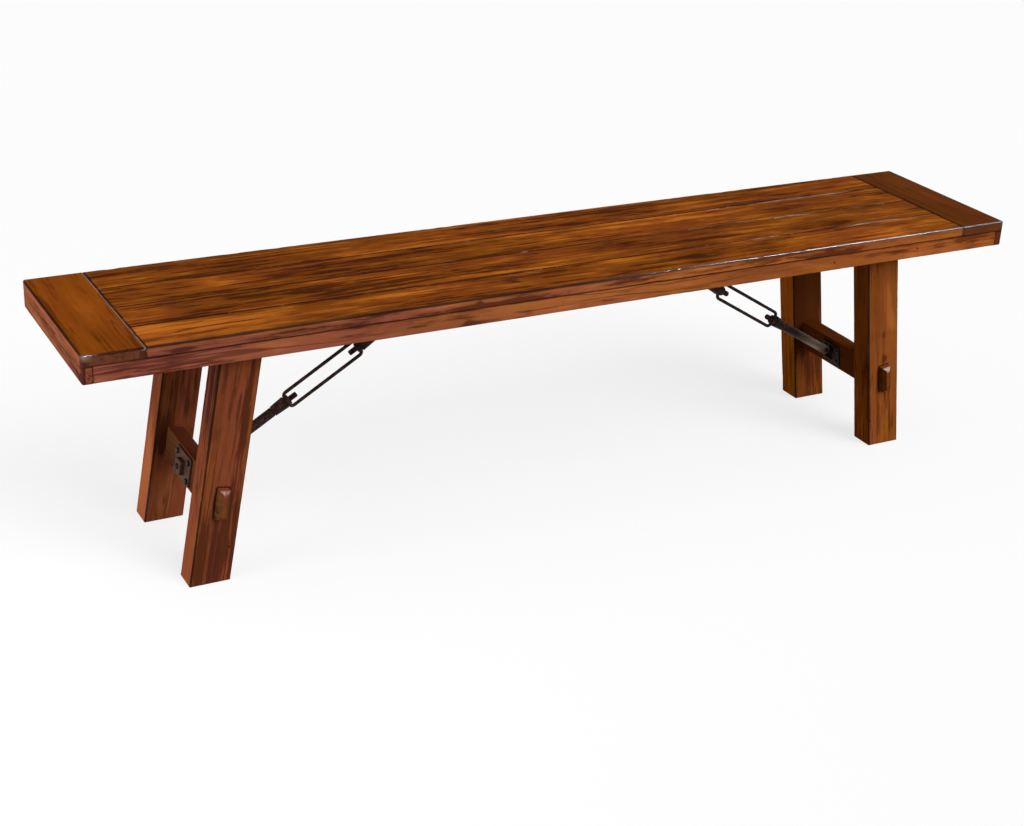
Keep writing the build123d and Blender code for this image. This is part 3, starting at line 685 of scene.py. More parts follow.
def timber(
        name, axes, places, halves, radii, seed, material, edges, end_edge, rounds=(0, 0, 0, 0),
        insets=0.0, corner_rub_and_highlight=0.0, bevel_rub_and_highlight=0.0, end_stain=1.0, end_fade=0.0, tilt=None, mortise=None,
        marks=(), side_marks=()):
    """One wooden piece: a rounded section carried along the grain, planed in slow waves, worn at its edges.

    surface = place along + section - normal (wave noise + knock noise near an edge); ends close in rings.
    Rounds are the end rounds of the sides at +wide, -wide, +thick, -thick. Edges and end_edge say how the
    four long edges and the ends' edges have aged; the rubs are pale bare wood and painted highlight at the
    outer corners and on an upper bevel; end_fade is how far the ends' shine fails towards +wide.
    """
    grid_step = settings()[0].grid_step
    to_end = np.minimum(places - places[0], places[-1] - places)
    drawn = [end_round(to_end, radius) for radius in rounds]
    half_wide = halves[0] - insets - (drawn[0] + drawn[1]) / 2
    half_thick = halves[1] - insets - (drawn[2] + drawn[3]) / 2
    shift = np.stack([drawn[1] - drawn[0], drawn[3] - drawn[2]], -1) / 2
    counts = [max(int(2 * half.max() / grid_step), 4) for half in (half_wide, half_thick)] * 2
    breaks = () if mortise is None else (mortise[0], -mortise[0])
    ring, normal, edge_distance, nearest = section(half_wide, half_thick, radii, counts, breaks)
    ring = ring + shift[:, None]
    columns = ring.shape[1]
    along = np.broadcast_to(places[:, None], ring.shape[:2])
    own = np.concatenate([along[..., None], ring], -1)

    end_distance = np.broadcast_to(to_end[:, None], ring.shape[:2])
    stained, shiny, rubbed = np.asarray(edges, float)[nearest].T
    depth = planed_depth(own, edge_distance, end_distance, stained, seed)
    ring = ring - normal * depth[..., None]
    tilts = np.zeros(len(places)) if tilt is None else tilt
    own = np.concatenate([(along + tilts[:, None] * ring[..., 0])[..., None], ring], -1)

    centres = [np.array([places[end], *shift[end]]) for end in (0, -1)]
    caps = [
        np.stack([centre + (own[end] - centre) * scale for scale in CAP_RINGS])
        for end, centre in zip((0, -1), centres)
    ]
    grid = np.concatenate([caps[0][::-1], own, caps[1]])
    past_round = np.maximum(end_distance - rounds[2], 0)
    near_edge = np.exp(-edge_distance / EDGE_REACH)
    upward = np.clip(normal[..., 1], 0, 1)
    near_end = np.exp(-past_round / EDGE_REACH) * (SIDE_STAIN + (1 - SIDE_STAIN) * upward)
    edge = np.maximum(near_edge * stained, near_end * end_edge[0])
    inner_share = np.clip(ring[..., 0] / half_wide.max() + 1, 0, 2) / 2
    shine = np.maximum(near_edge * shiny, near_end * end_edge[1] * (1 - end_fade * inner_share))
    # Pale painted highlight along the edges whose third value is set, the left joint's edge
    rub_and_highlight = np.exp(-edge_distance / RUB_REACH) * rubbed
    # Pale outer corners: wear and painted highlight
    rub_and_highlight = rub_and_highlight + corner_rub_and_highlight * np.exp(-(edge_distance + end_distance) / END_REACH) * (nearest == 1)
    # Pale upward-facing tenon bevels: wear and painted highlight, lighter on top where light falls
    bevelled = np.broadcast_to(insets, places.shape)[:, None] > 0
    rub_and_highlight = rub_and_highlight + bevel_rub_and_highlight * bevelled * np.clip(normal[..., 0], 0, 1) ** 4
    # Round the mortise the leg is darkened: a dark joint line, strengthened as painted shade round the tenon
    if mortise is not None:
        faces_up = np.abs(normal[..., 1]) > 0.5
        beside = np.maximum(np.abs(ring[..., 0]) - mortise[0], 0)
        beyond = np.maximum(np.maximum(mortise[1] - along, along - mortise[2]), 0)
        outline = np.exp(-np.hypot(beside, beyond) / MORTISE_REACH) * faces_up
        edge = np.maximum(edge, MORTISE_STAIN_AND_SHADE * outline)
    flat = np.zeros((len(CAP_RINGS), columns))
    fields = {
        "edge": (flat, edge, 0),
        "shine": (flat, shine, 0),
        "rub_and_highlight": (flat, rub_and_highlight, 0),
        # Marks from the tables: knots and streaks, and on the legs also painted shade and painted light
        "stain_and_shade": (flat, marked(along, ring, normal, marks, side_marks), 0),
        "side": (flat + 1, 1 - np.abs(normal[..., 1]), 1),
        "end_face": (flat + end_stain, end_stain * (end_distance < SAME_PLACE), end_stain),
    }
    attributes = {
        label: np.concatenate([cap.ravel(), body.ravel(), cap.ravel(), [pole, pole]])
        for label, (cap, body, pole) in fields.items()
    }

    points, (faces, poles) = closed_by_poles(grid, centres)
    if mortise is not None:
        spans = mortise_spans(places, ring[len(ring) // 2], mortise)
        faces = mortise_faces(faces, columns, *spans)
    attributes["grain"] = points + np.random.default_rng(seed).uniform(LOG_LOW, LOG_HIGH)
    new_piece(name, carried(axes, points), [faces, poles], material, "bench", attributes)


def leg_axes(side):
    """A leg's own axes at the middle of its foot: up the leg, outward along the bench, and across it."""
    splay = settings()[0].leg_splay
    height = LEG_HIGH.z - LEG_LOW.z
    foot_width = LEG_HIGH.x - LEG_LOW.x - height * tan(splay)
    foot = (side * (LEG_HIGH.x - foot_width / 2), 0, LEG_LOW.z)
    up = (-side * sin(splay), 0, cos(splay))
    outward = (side * cos(splay), 0, sin(splay))
    return own_axes(foot, up, outward), foot_width


class BENCH_OT_seat_planks(Operator):
    """Makes the four seat planks, rounded along the vee grooves and the seat's edge"""

    bl_idname = "bench.seat_planks"
    bl_label = "Seat planks"

    def execute(self, context):
        timber_set = settings()[0]
        material = seat_wood()
        width = 2 * SEAT_HALF_DEPTH / len(PLANK_NAMES)
        half_thick = (SEAT_TOP - DECK_UNDERSIDE) / 2
        groove = timber_set.plank_round
        seam = timber_set.seam_round
        places = even_stations(END_BOARD_LOW.x, groove, timber_set.grid_step)
        for number, name in enumerate(PLANK_NAMES):
            middle = (number + 0.5) * width - SEAT_HALF_DEPTH
            axes = own_axes((0, middle, DECK_UNDERSIDE + half_thick), (1, 0, 0), (0, 1, 0))
            inner = (groove, GROOVE_EDGE)
            front_round, front_edge = (timber_set.seat_round, SEAT_EDGE) if number == 0 else inner
            is_last = number == len(PLANK_NAMES) - 1
            back_round, back_edge = (timber_set.seat_round, OUTER_EDGE) if is_last else inner
            radii = (back_round, front_round, seam, seam)
            edges = (back_edge, front_edge, SEAM_EDGE, SEAM_EDGE)
            timber(
                name, axes, places, (width / 2, half_thick), radii, PLANK_SEED + number, material,
                edges, BUTT_EDGE, rounds=(seam, seam, groove, seam),
                marks=BOARD_MARKS.get(name, ()), side_marks=SIDE_MARKS_AND_PAINTED_LIGHT.get(name, ()))
        return {"FINISHED"}


class BENCH_OT_end_boards(Operator):
    """Makes the boards across the seat's ends"""

    bl_idname = "bench.end_boards"
    bl_label = "End boards"

    def execute(self, context):
        timber_set = settings()[0]
        material = end_wood()
        half_wide = (END_BOARD_HIGH.x - END_BOARD_LOW.x) / 2
        half_thick = (SEAT_TOP - DECK_UNDERSIDE) / 2
        groove = timber_set.plank_round
        seam = timber_set.seam_round
        corner = timber_set.corner_round
        radii = (groove, timber_set.seat_round, seam, seam)
        rounds = (seam, corner, timber_set.seat_round, seam)
        places = even_stations(SEAT_HALF_DEPTH, corner, timber_set.grid_step)
        for number, (end, side) in enumerate(SIDES.items()):
            middle = (side * (END_BOARD_HIGH.x - half_wide), 0, DECK_UNDERSIDE + half_thick)
            axes = own_axes(middle, (0, side, 0), (-side, 0, 0))
            name = f"{end}_end_board"
            edges = (JOINT_EDGES[end], OUTER_EDGE, END_SEAMS[end], SEAM_EDGE)
            timber(
                name, axes, places, (half_wide, half_thick), radii, END_BOARD_SEED + number, material,
                edges, SEAT_EDGE, rounds=rounds, corner_rub_and_highlight=CORNER_RUB_AND_HIGHLIGHT,
                end_stain=END_STAINS[end], end_fade=END_FADES[end],
                marks=BOARD_MARKS.get(name, ()), side_marks=SIDE_MARKS_AND_PAINTED_LIGHT.get(name, ()))
        return {"FINISHED"}


class BENCH_OT_edge_strips(Operator):
    """Makes the strips that thicken the seat's edge"""

    bl_idname = "bench.edge_strips"
    bl_label = "Edge strips"

    def execute(self, context):
        timber_set = settings()[0]
        material = edge_wood()
        half_tall = (STRIP_HIGH.z - STRIP_LOW.z) / 2
        middle_z = STRIP_LOW.z + half_tall
        seam = timber_set.seam_round
        under = timber_set.plank_round
        corner = timber_set.corner_round
        radii = (seam, seam, under, under)
        edges = (SEAM_EDGE, SEAM_EDGE, UNDER_EDGE, UNDER_EDGE)
        half_wide = (STRIP_HIGH.y - STRIP_LOW.y) / 2
        places = even_stations(STRIP_HIGH.x, seam, timber_set.grid_step)
        for number, (row, side) in enumerate(ROWS.items()):
            axes = own_axes((0, side * (SEAT_HALF_DEPTH - half_wide), middle_z), (1, 0, 0), (0, 1, 0))
            name = f"{row}_edge_strip"
            timber(
                name, axes, places, (half_wide, half_tall), radii, EDGE_STRIP_SEED + number, material,
                edges, SEAM_EDGE, rounds=(seam,) * 4, side_marks=SIDE_MARKS_AND_PAINTED_LIGHT.get(name, ()))
        half_wide = (END_STRIP_HIGH.x - END_STRIP_LOW.x) / 2
        places = even_stations(SEAT_HALF_DEPTH, corner, timber_set.grid_step)
        for number, (end, side) in enumerate(SIDES.items()):
            middle = (side * (END_STRIP_HIGH.x - half_wide), 0, middle_z)
            axes = own_axes(middle, (0, side, 0), (-side, 0, 0))
            name = f"{end}_end_strip"
            edges = (SEAM_EDGE, END_SEAMS[end], UNDER_EDGE, UNDER_EDGE)
            timber(
                name, axes, places, (half_wide, half_tall), radii, END_STRIP_SEED + number, material,
                edges, CORNER_EDGE, rounds=(seam, corner, seam, under),
                end_stain=STRIP_STAINS[end], side_marks=SIDE_MARKS_AND_PAINTED_LIGHT.get(name, ()))
        return {"FINISHED"}


class BENCH_OT_legs(Operator):
    """Makes the splayed legs, cut level at both ends and mortised for the stretchers"""

    bl_idname = "bench.legs"
    bl_label = "Legs"

    def execute(self, context):
        timber_set = settings()[0]
        material = leg_wood()
        splay = timber_set.leg_splay
        half_thick = (LEG_HIGH.y - LEG_LOW.y) / 2
        middle_y = LEG_LOW.y + half_thick
        length = (LEG_HIGH.z - LEG_LOW.z) / cos(splay)
        places = even_stations(length / 2, LEG_RIM, timber_set.grid_step) + length / 2
        half_mouth = timber_set.tenon_thick / 2 + timber_set.mortise_gap
        half_height = timber_set.tenon_tall / 2 + timber_set.mortise_gap
        limits = (timber_set.stretcher_up - half_height, timber_set.stretcher_up + half_height)
        for limit in limits:
            places[np.abs(places - limit).argmin()] = limit
        below = (limits[0] - places) / limits[0]
        above = (places - limits[1]) / LEVEL_REACH
        level = np.clip(np.maximum(below, above), 0, 1)
        tilt = -tan(splay) * level * level * (3 - 2 * level)
        radii = (timber_set.leg_round,) * 4
        for number, (end, side) in enumerate(SIDES.items()):
            (foot, up, outward, across), foot_width = leg_axes(side)
            half_wide = foot_width * cos(splay) / 2
            for row, row_side in ROWS.items():
                origin = foot + np.array([0, row_side * middle_y, 0])
                axes = (origin, up, outward, across)
                seed = LEG_SEED + 2 * number + (row == "back")
                name = f"{end}_{row}_leg"
                edges = [UNDER_EDGE] * 4
                edges[0 if side < 0 else 2] = LEG_EDGE
                timber(
                    name, axes, places, (half_wide, half_thick), radii, seed, material,
                    edges, UNDER_EDGE, rounds=(LEG_RIM,) * 4, tilt=tilt,
                    mortise=(half_mouth, *limits), marks=LEG_MARKS_AND_PAINTED_LIGHT.get(name, ()),
                    side_marks=SIDE_MARKS_AND_PAINTED_LIGHT.get(name, ()))
        return {"FINISHED"}


class BENCH_OT_stretchers(Operator):
    """Makes the stretchers, each with a bevelled through tenon at both ends"""

    bl_idname = "bench.stretchers"
    bl_label = "Stretchers"

    def execute(self, context):
        timber_set = settings()[0]
        material = rail_wood()
        shoulder = LEG_LOW.y
        tip = TENON_TIP
        bevel = timber_set.tenon_bevel
        rail = np.linspace(0, shoulder, RAIL_STEPS)
        tenon = np.linspace(shoulder, tip - bevel, TENON_STEPS)
        point = np.linspace(tip - bevel, tip, BEVEL_STEPS)[1:]
        half = np.concatenate([rail[1:], tenon, point])
        places = np.concatenate([-half[::-1], [0], half])
        drawn = np.concatenate([np.zeros(len(rail) - 1 + len(tenon)), point - (tip - bevel)])
        insets = np.concatenate([drawn[::-1], [0], drawn])
        is_rail = np.concatenate([np.ones(len(rail) - 1), np.zeros(len(tenon) + len(point))])
        is_rail = np.concatenate([is_rail[::-1], [1], is_rail])
        tall = np.where(is_rail, timber_set.stretcher_tall, timber_set.tenon_tall) / 2
        thick = np.where(is_rail, timber_set.stretcher_thick, timber_set.tenon_thick) / 2
        radii = (timber_set.plank_round * RAIL_ROUND_SHARE,) * 4
        for number, (end, side) in enumerate(SIDES.items()):
            (foot, up, _outward, _across), _foot_width = leg_axes(side)
            axes = own_axes(foot + up * timber_set.stretcher_up, (0, side, 0), up)
            timber(
                f"{end}_stretcher", axes, places, (tall, thick), radii, STRETCHER_SEED + number,
                material, (UNDER_EDGE,) * 4, PLAIN_EDGE, insets=insets,
                bevel_rub_and_highlight=TENON_RUB_AND_HIGHLIGHT, end_stain=TENON_STAIN)
        return {"FINISHED"}


class BENCH_OT_under_timbers(Operator):
    """Gives the cleats and battens under the seat their plain stained wood"""

    bl_idname = "bench.under_timbers"
    bl_label = "Timbers under the seat"

    def execute(self, context):
        material = under_wood()
        for end in SIDES:
            for name in (f"{end}_leg_cleat", f"{end}_bracket_batten"):
                paint_node(name, material)
        return {"FINISHED"}


def paint_node(name, material):
    """Puts one material on a CAD node, whose shape stays as it is."""
    mesh = frame["nodes"][name].data
    mesh.materials.clear()
    mesh.materials.append(material)


# Iron

def turned(profile, steps=TURN_STEPS):
    """A profile of (along, radius) rows turned about the first axis: (a, r cos t, r sin t)."""
    profile = np.asarray(profile, float)
    angle = np.arange(steps) * 2 * np.pi / steps
    along = np.broadcast_to(profile[:, :1], (len(profile), steps))
    return np.stack([along, profile[:, 1:] * np.cos(angle), profile[:, 1:] * np.sin(angle)], -1)


def hammered(points, seed):
    """Draws points in towards their own axis a little, in soft forging marks."""
    depth = settings()[1].hammer_depth * (solid_noise(points, FORGE_SPACING, seed) + 1) / 2
    radius = np.linalg.norm(points[..., 1:], axis=-1)
    shrink = 1 - depth / np.maximum(radius, depth * 4)
    return np.concatenate([points[..., :1], points[..., 1:] * shrink[..., None]], -1)


def brace_axes(end):
    """The brace's axes at the loop's middle, with X up along the rods, and the reach to each pin."""
    iron = settings()[1]
    joint = JOINTS[f"{end}_turnbuckle"]
    along = np.array(joint["axis"], float)
    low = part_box(f"{end}_lower_rod")[0].z + iron.rod_radius
    reach = (joint["pos_m"][2] - low) / along[2]
    return own_axes(joint["pos_m"], along, (0, 1, 0)), reach


def rod_parts(reach, hand):
    """A rod along X from its pin: two fork cheeks, a plain shank and a threaded stub.

    stub radius = crest - depth |2 frac(x / pitch - hand t / 2 pi) - 1|, fading at both of its ends.
    """
    iron = settings()[1]
    shoulder = reach - iron.loop_length / 2 - iron.sleeve_length - SLEEVE_GAP
    tip = reach - iron.loop_length / 2 + iron.eye_length + iron.thread_reach
    shank = [
        (iron.slot_end, SLOT_CORE),
        (iron.slot_end, iron.fork_outer - SLOT_ROUND),
        (iron.slot_end + SLOT_ROUND, iron.fork_outer),
        (iron.fork_reach - NECK_LENGTH, iron.rod_radius - NECK_DEPTH),
    ]
    plain = np.linspace(iron.fork_reach, shoulder - SHOULDER_LENGTH, SHANK_STEPS)
    shank += [(place, iron.rod_radius) for place in plain]
    shank += [(shoulder - back, iron.rod_radius - inward) for back, inward in SHOULDER_STEPS]
    body = hammered(turned(shank), ROD_SEED)
    places = np.linspace(shoulder, tip, int((tip - shoulder) / iron.thread_pitch * THREAD_ROWS))
    stub = turned(np.stack([places, np.full(len(places), iron.thread_radius)], -1))
    turn = np.arange(TURN_STEPS) / TURN_STEPS
    phase = places[:, None] / iron.thread_pitch - hand * turn
    valley = np.abs(2 * (phase - np.floor(phase)) - 1)
    fade = np.clip((tip - places) / THREAD_FADE, 0, 1)[:, None]
    share = (1 - iron.thread_depth / iron.thread_radius * valley) * fade + (1 - fade) * STUB_SHARE
    stub[..., 1:] *= share[..., None]
    point = [(tip + beyond, radius) for beyond, radius in STUB_POINT]
    rod_grid = np.concatenate([body, stub, turned(point)])
    parts = [closed_by_poles(rod_grid)]
    half = (iron.fork_outer - iron.fork_inner) / 2
    for sign in (-1, 1):
        cheek_middle = sign * (iron.fork_outer + iron.fork_inner) / 2
        points, faces = slab(fork_outline(iron), half, CHEEK_RIM)
        parts.append((points[:, [0, 2, 1]] + np.array([0, cheek_middle, 0]), faces))
    return joined(parts)


def fork_outline(iron):
    """The side of a fork: a half circle round the pin, running straight into the shank."""
    angle = np.linspace(np.pi / 2, 3 * np.pi / 2, FORK_STEPS)
    round_end = iron.rod_radius * np.stack([np.cos(angle), np.sin(angle)], -1)
    straight = np.linspace(0, iron.fork_reach, CHEEK_STEPS)[1:]
    lower = np.stack([straight, np.full(len(straight), -iron.rod_radius)], -1)
    return np.concatenate([round_end, lower, lower[::-1] * (1, -1)])


def slab(outline, half, rim):
    """A flat plate with a rounded rim: drawn in by rim (1 - cos t) at the height half - rim (1 - sin t)."""
    turn = np.linspace(0, np.pi / 2, RIM_STEPS + 1)
    centre = outline.mean(axis=0)
    reach = np.linalg.norm(outline - centre, axis=-1).max()
    scales = 1 - rim * (1 - np.cos(turn)) / reach
    heights = half - rim + rim * np.sin(turn)
    scales = np.concatenate([scales, np.array(CAP_RINGS) * scales[-1]])
    heights = np.concatenate([heights, np.full(len(CAP_RINGS), half)])
    scales = np.concatenate([scales[::-1], scales])
    heights = np.concatenate([-heights[::-1], heights])
    flat = centre + (outline - centre) * scales[:, None, None]
    level = np.broadcast_to(heights[:, None, None], flat.shape[:2] + (1,))
    return closed_by_poles(np.concatenate([flat, level], -1))


class BENCH_OT_rods(Operator):
    """Makes the forked rods with their threaded stubs"""

    bl_idname = "bench.rods"
    bl_label = "Brace rods"

    def execute(self, context):
        material = antique_iron()
        for end in SIDES:
            (middle, along, across, _third), reach = brace_axes(end)
            for row, sign in (("lower", 1), ("upper", -1)):
                axes = own_axes(middle - sign * along * reach, sign * along, across)
                points, faces = rod_parts(reach, sign)
                name = f"{end}_{row}_rod"
                # Painted light: a pale patch near the right lower rod's pin
                worn_and_lit = np.exp(-(((points[:, 0] - LIT_PLACE) / LIT_REACH) ** 2)) * (name == LIT_ROD)
                new_piece(
                    name, carried(axes, points), faces, material, "bench", {"worn_and_lit": worn_and_lit})
        return {"FINISHED"}


def rounded_path(half_length, half_width, radius):
    """A rounded rectangle's points and outward normals, evenly stepped along its sides."""
    turn = np.linspace(0, np.pi / 2, BEND_STEPS)
    points = []
    normals = []
    for quarter, (sign_x, sign_z) in enumerate(QUARTERS):
        angle = turn + quarter * np.pi / 2
        normal = np.stack([np.cos(angle), np.sin(angle)], -1)
        centre = np.array([sign_x * (half_length - radius), sign_z * (half_width - radius)])
        arc = centre + radius * normal
        span = 2 * ((half_length if quarter % 2 == 0 else half_width) - radius)
        direction = np.array([-normal[-1, 1], normal[-1, 0]])
        steps = np.linspace(0, span, max(int(span / BAR_STEP), 2) + 1)[1:-1, None]
        points += [arc, arc[-1] + steps * direction]
        normals += [normal, np.broadcast_to(normal[-1], (len(steps), 2))]
    return np.concatenate(points), np.concatenate(normals)


def loop_parts():
    """The turnbuckle's bent bar, path + r (normal cos t + across sin t), with a bored eye in each end."""
    iron = settings()[1]
    path, normal = rounded_path(
        iron.loop_length / 2 - iron.bar_radius, iron.loop_width / 2 - iron.bar_radius, iron.bend_radius)
    angle = np.arange(BAR_STEPS) * 2 * np.pi / BAR_STEPS
    dents = (solid_noise(np.insert(path, 1, 0, axis=1), DENT_SPACING, LOOP_SEED) + 1) / 2
    dents = iron.hammer_depth * dents
    radius = (iron.bar_radius - dents)[:, None]
    in_plane = path[:, None] + normal[:, None] * (radius * np.cos(angle))[..., None]
    across = np.broadcast_to(radius * np.sin(angle), in_plane.shape[:2])
    parts = [closed_ring(np.stack([in_plane[..., 0], across, in_plane[..., 1]], -1))]
    for sign in (-1, 1):
        outer = sign * iron.loop_length / 2
        inner = outer - sign * iron.eye_length
        ring = ring_profile(inner, outer, iron.bore_radius, iron.eye_radius, iron.eye_radius, EYE_RIM)
        parts.append(closed_ring(turned(ring)))
    return joined(parts)


def ring_profile(start, end, bore, start_radius, end_radius, rim):
    """The closed profile of a bored ring: straight bore, rounded rims, outside tapering to the end."""
    turn = np.linspace(0, np.pi / 2, RIM_STEPS + 1)
    step = rim if end > start else -rim
    inward = step * (1 - np.sin(turn))
    drop = rim - rim * np.cos(turn)
    first = np.stack([start + inward, start_radius - drop], -1)[::-1]
    last = np.stack([end - inward, end_radius - drop], -1)
    bore_rows = np.array([[end, bore], [start, bore]])
    return np.concatenate([first, last, bore_rows])


class BENCH_OT_turnbuckles(Operator):
    """Makes the loops and sleeves that turn on the rods' threads"""

    bl_idname = "bench.turnbuckles"
    bl_label = "Turnbuckles"

    def execute(self, context):
        iron = settings()[1]
        material = antique_iron()
        root = iron.loop_length / 2
        tip = root + iron.sleeve_length
        for end in SIDES:
            axes, _reach = brace_axes(end)
            body = f"{end}_turnbuckle"
            points, faces = loop_parts()
            name = f"{end}_turnbuckle_loop"
            new_piece(name, carried(axes, points), faces, material, body)
            for row, sign in (("lower", -1), ("upper", 1)):
                radii = (iron.bore_radius, iron.sleeve_large, iron.sleeve_small)
                ring = ring_profile(sign * root, sign * tip, *radii, SLEEVE_RIM)
                points, faces = closed_ring(hammered(turned(ring), SLEEVE_SEED))
                name = f"{end}_{row}_sleeve"
                new_piece(name, carried(axes, points), faces, material, body)
        return {"FINISHED"}


class BENCH_OT_brackets(Operator):
    """Gives the brackets their antique finish, and the backing plates and square nuts a browner one"""

    bl_idname = "bench.brackets"
    bl_label = "Brackets and plates"

    def execute(self, context):
        for end in SIDES:
            for name in ("lower_bracket", "upper_bracket"):
                paint_node(f"{end}_{name}", antique_iron())
            for name in ("backing_plate", "square_nut"):
                paint_node(f"{end}_{name}", rusted_iron())
        return {"FINISHED"}


class BENCH_OT_fasteners(Operator):
    """Gives the screws, bolts and pins their blackened steel"""

    bl_idname = "bench.fasteners"
    bl_label = "Screws, bolts and pins"

    def execute(self, context):
        material = dark_steel()
        for name in ("pivot_pins", "bracket_screws", "backing_plate_bolts", "cleat_bolts", "batten_screws"):
            paint_node(name, material)
        return {"FINISHED"}


# Materials

class Tree:
    """Short ways to add linked nodes to one node tree."""

    def __init__(self, tree):
        self.tree = tree

    def add(self, kind, inputs=None, **fields):
        """One node, with its fields set and its inputs given as values or as sockets to link."""
        node = self.tree.nodes.new(kind)
        for field, value in fields.items():
            setattr(node, field, value)
        for key, value in (inputs or {}).items():
            self.set(node.inputs[key], value)
        return node

    def set(self, socket, value):
        """Links a socket to an input, or writes a plain value into it."""
        if isinstance(value, bpy.types.NodeSocket):
            self.tree.links.new(value, socket)
        else:
            socket.default_value = value

    def math(self, operation, first, second=0.0, clamp=False):
        """One step of arithmetic."""
        node = self.add("ShaderNodeMath", {0: first, 1: second}, operation=operation, use_clamp=clamp)
        return node.outputs[0]

    def vector(self, operation, first, second):
        """One step of vector arithmetic."""
        return self.add("ShaderNodeVectorMath", {0: first, 1: second}, operation=operation).outputs[0]

    def noise(self, vector, scales, detail=2.0, roughness=0.5, colour=False):
        """Noise over a vector that is first stretched by three scales."""
        stretched = self.vector("MULTIPLY", vector, scales)
        values = {"Vector": stretched, "Scale": 1.0, "Detail": detail, "Roughness": roughness}
        node = self.add("ShaderNodeTexNoise", values)
        return node.outputs["Color" if colour else "Fac"]

    def spread(self, value, low, high, to_low=0.0, to_high=1.0):
        """A value's range stretched to another, with smooth ends."""
        values = {"Value": value, "From Min": low, "From Max": high, "To Min": to_low, "To Max": to_high}
        return self.add("ShaderNodeMapRange", values, interpolation_type="SMOOTHSTEP").outputs["Result"]

    def total(self, shares):
        """The sum of sockets, each times its own share."""
        result = 0.0
        for socket, share in shares:
            result = self.math("ADD", result, self.math("MULTIPLY", socket, share))
        return result

    def mix(self, factor, first, second, blend="MIX"):
        """Two colours mixed."""
        node = self.add("ShaderNodeMix", data_type="RGBA", blend_type=blend)
        self.set(node.inputs["Factor"], factor)
        self.set(node.inputs["A"], first)
        self.set(node.inputs["B"], second)
        return node.outputs["Result"]


def new_group(name, inputs, outputs):
    """An empty shader node group with named sockets, and short ways to fill it."""
    group = bpy.data.node_groups.new(name, "ShaderNodeTree")
    for label, kind in inputs.items():
        group.interface.new_socket(label, in_out="INPUT", socket_type=kind)
    for label, kind in outputs.items():
        group.interface.new_socket(label, in_out="OUTPUT", socket_type=kind)
    tree = Tree(group)
    return tree, tree.add("NodeGroupInput").outputs, tree.add("NodeGroupOutput").inputs


# Kinds of socket
VECTOR = "NodeSocketVector"
FLOAT = "NodeSocketFloat"
COLOUR = "NodeSocketColor"

# Noise in the wood and the iron: waves for each metre along the grain and across it
SLOW_BENDS = (1.2, 9, 9)
QUICK_BENDS = (9, 40, 40)
GRAIN_LINES = (4.0, 130, 130)
GRAIN_BANDS = (3.2, 48, 48)
FLECKS = (14, 90, 90)
PATCHES = (6.0, 20, 20)
RED_PLACES = (3.0, 22, 22)
TONES = (2.3, 9, 9)
VEINS = (1.6, 40, 40)
VEIN_CLUSTERS = (2.5, 14, 14)
PORES = (30, 900, 900)
STAIN_BREAKS = (22, 60, 60)
RUBBED_PLACES = (26, 40, 40)
SHINE_LENGTHS = (11, 30, 30)
SCRATCH_LINES = (16, 420, 420)
SCRATCH_PLACES = (9, 14, 14)
MOTTLES = (150, 150, 150)
CAST_GRAINS = (600, 600, 600)
RINGS_EACH_METRE = 150.0
PITS_EACH_METRE = 26.0
SCRATCH_SLANT = 0.6

# How far the bends carry the grain aside, in metres, and the tints of its yellower and redder places
SLOW_BEND_REACH = (0, 0.040, 0.040)
QUICK_BEND_REACH = (0, 0.007, 0.007)
YELLOWER = (1.03, 1.08, 0.85, 1)
REDDER = (0.98, 0.91, 1.10, 1)


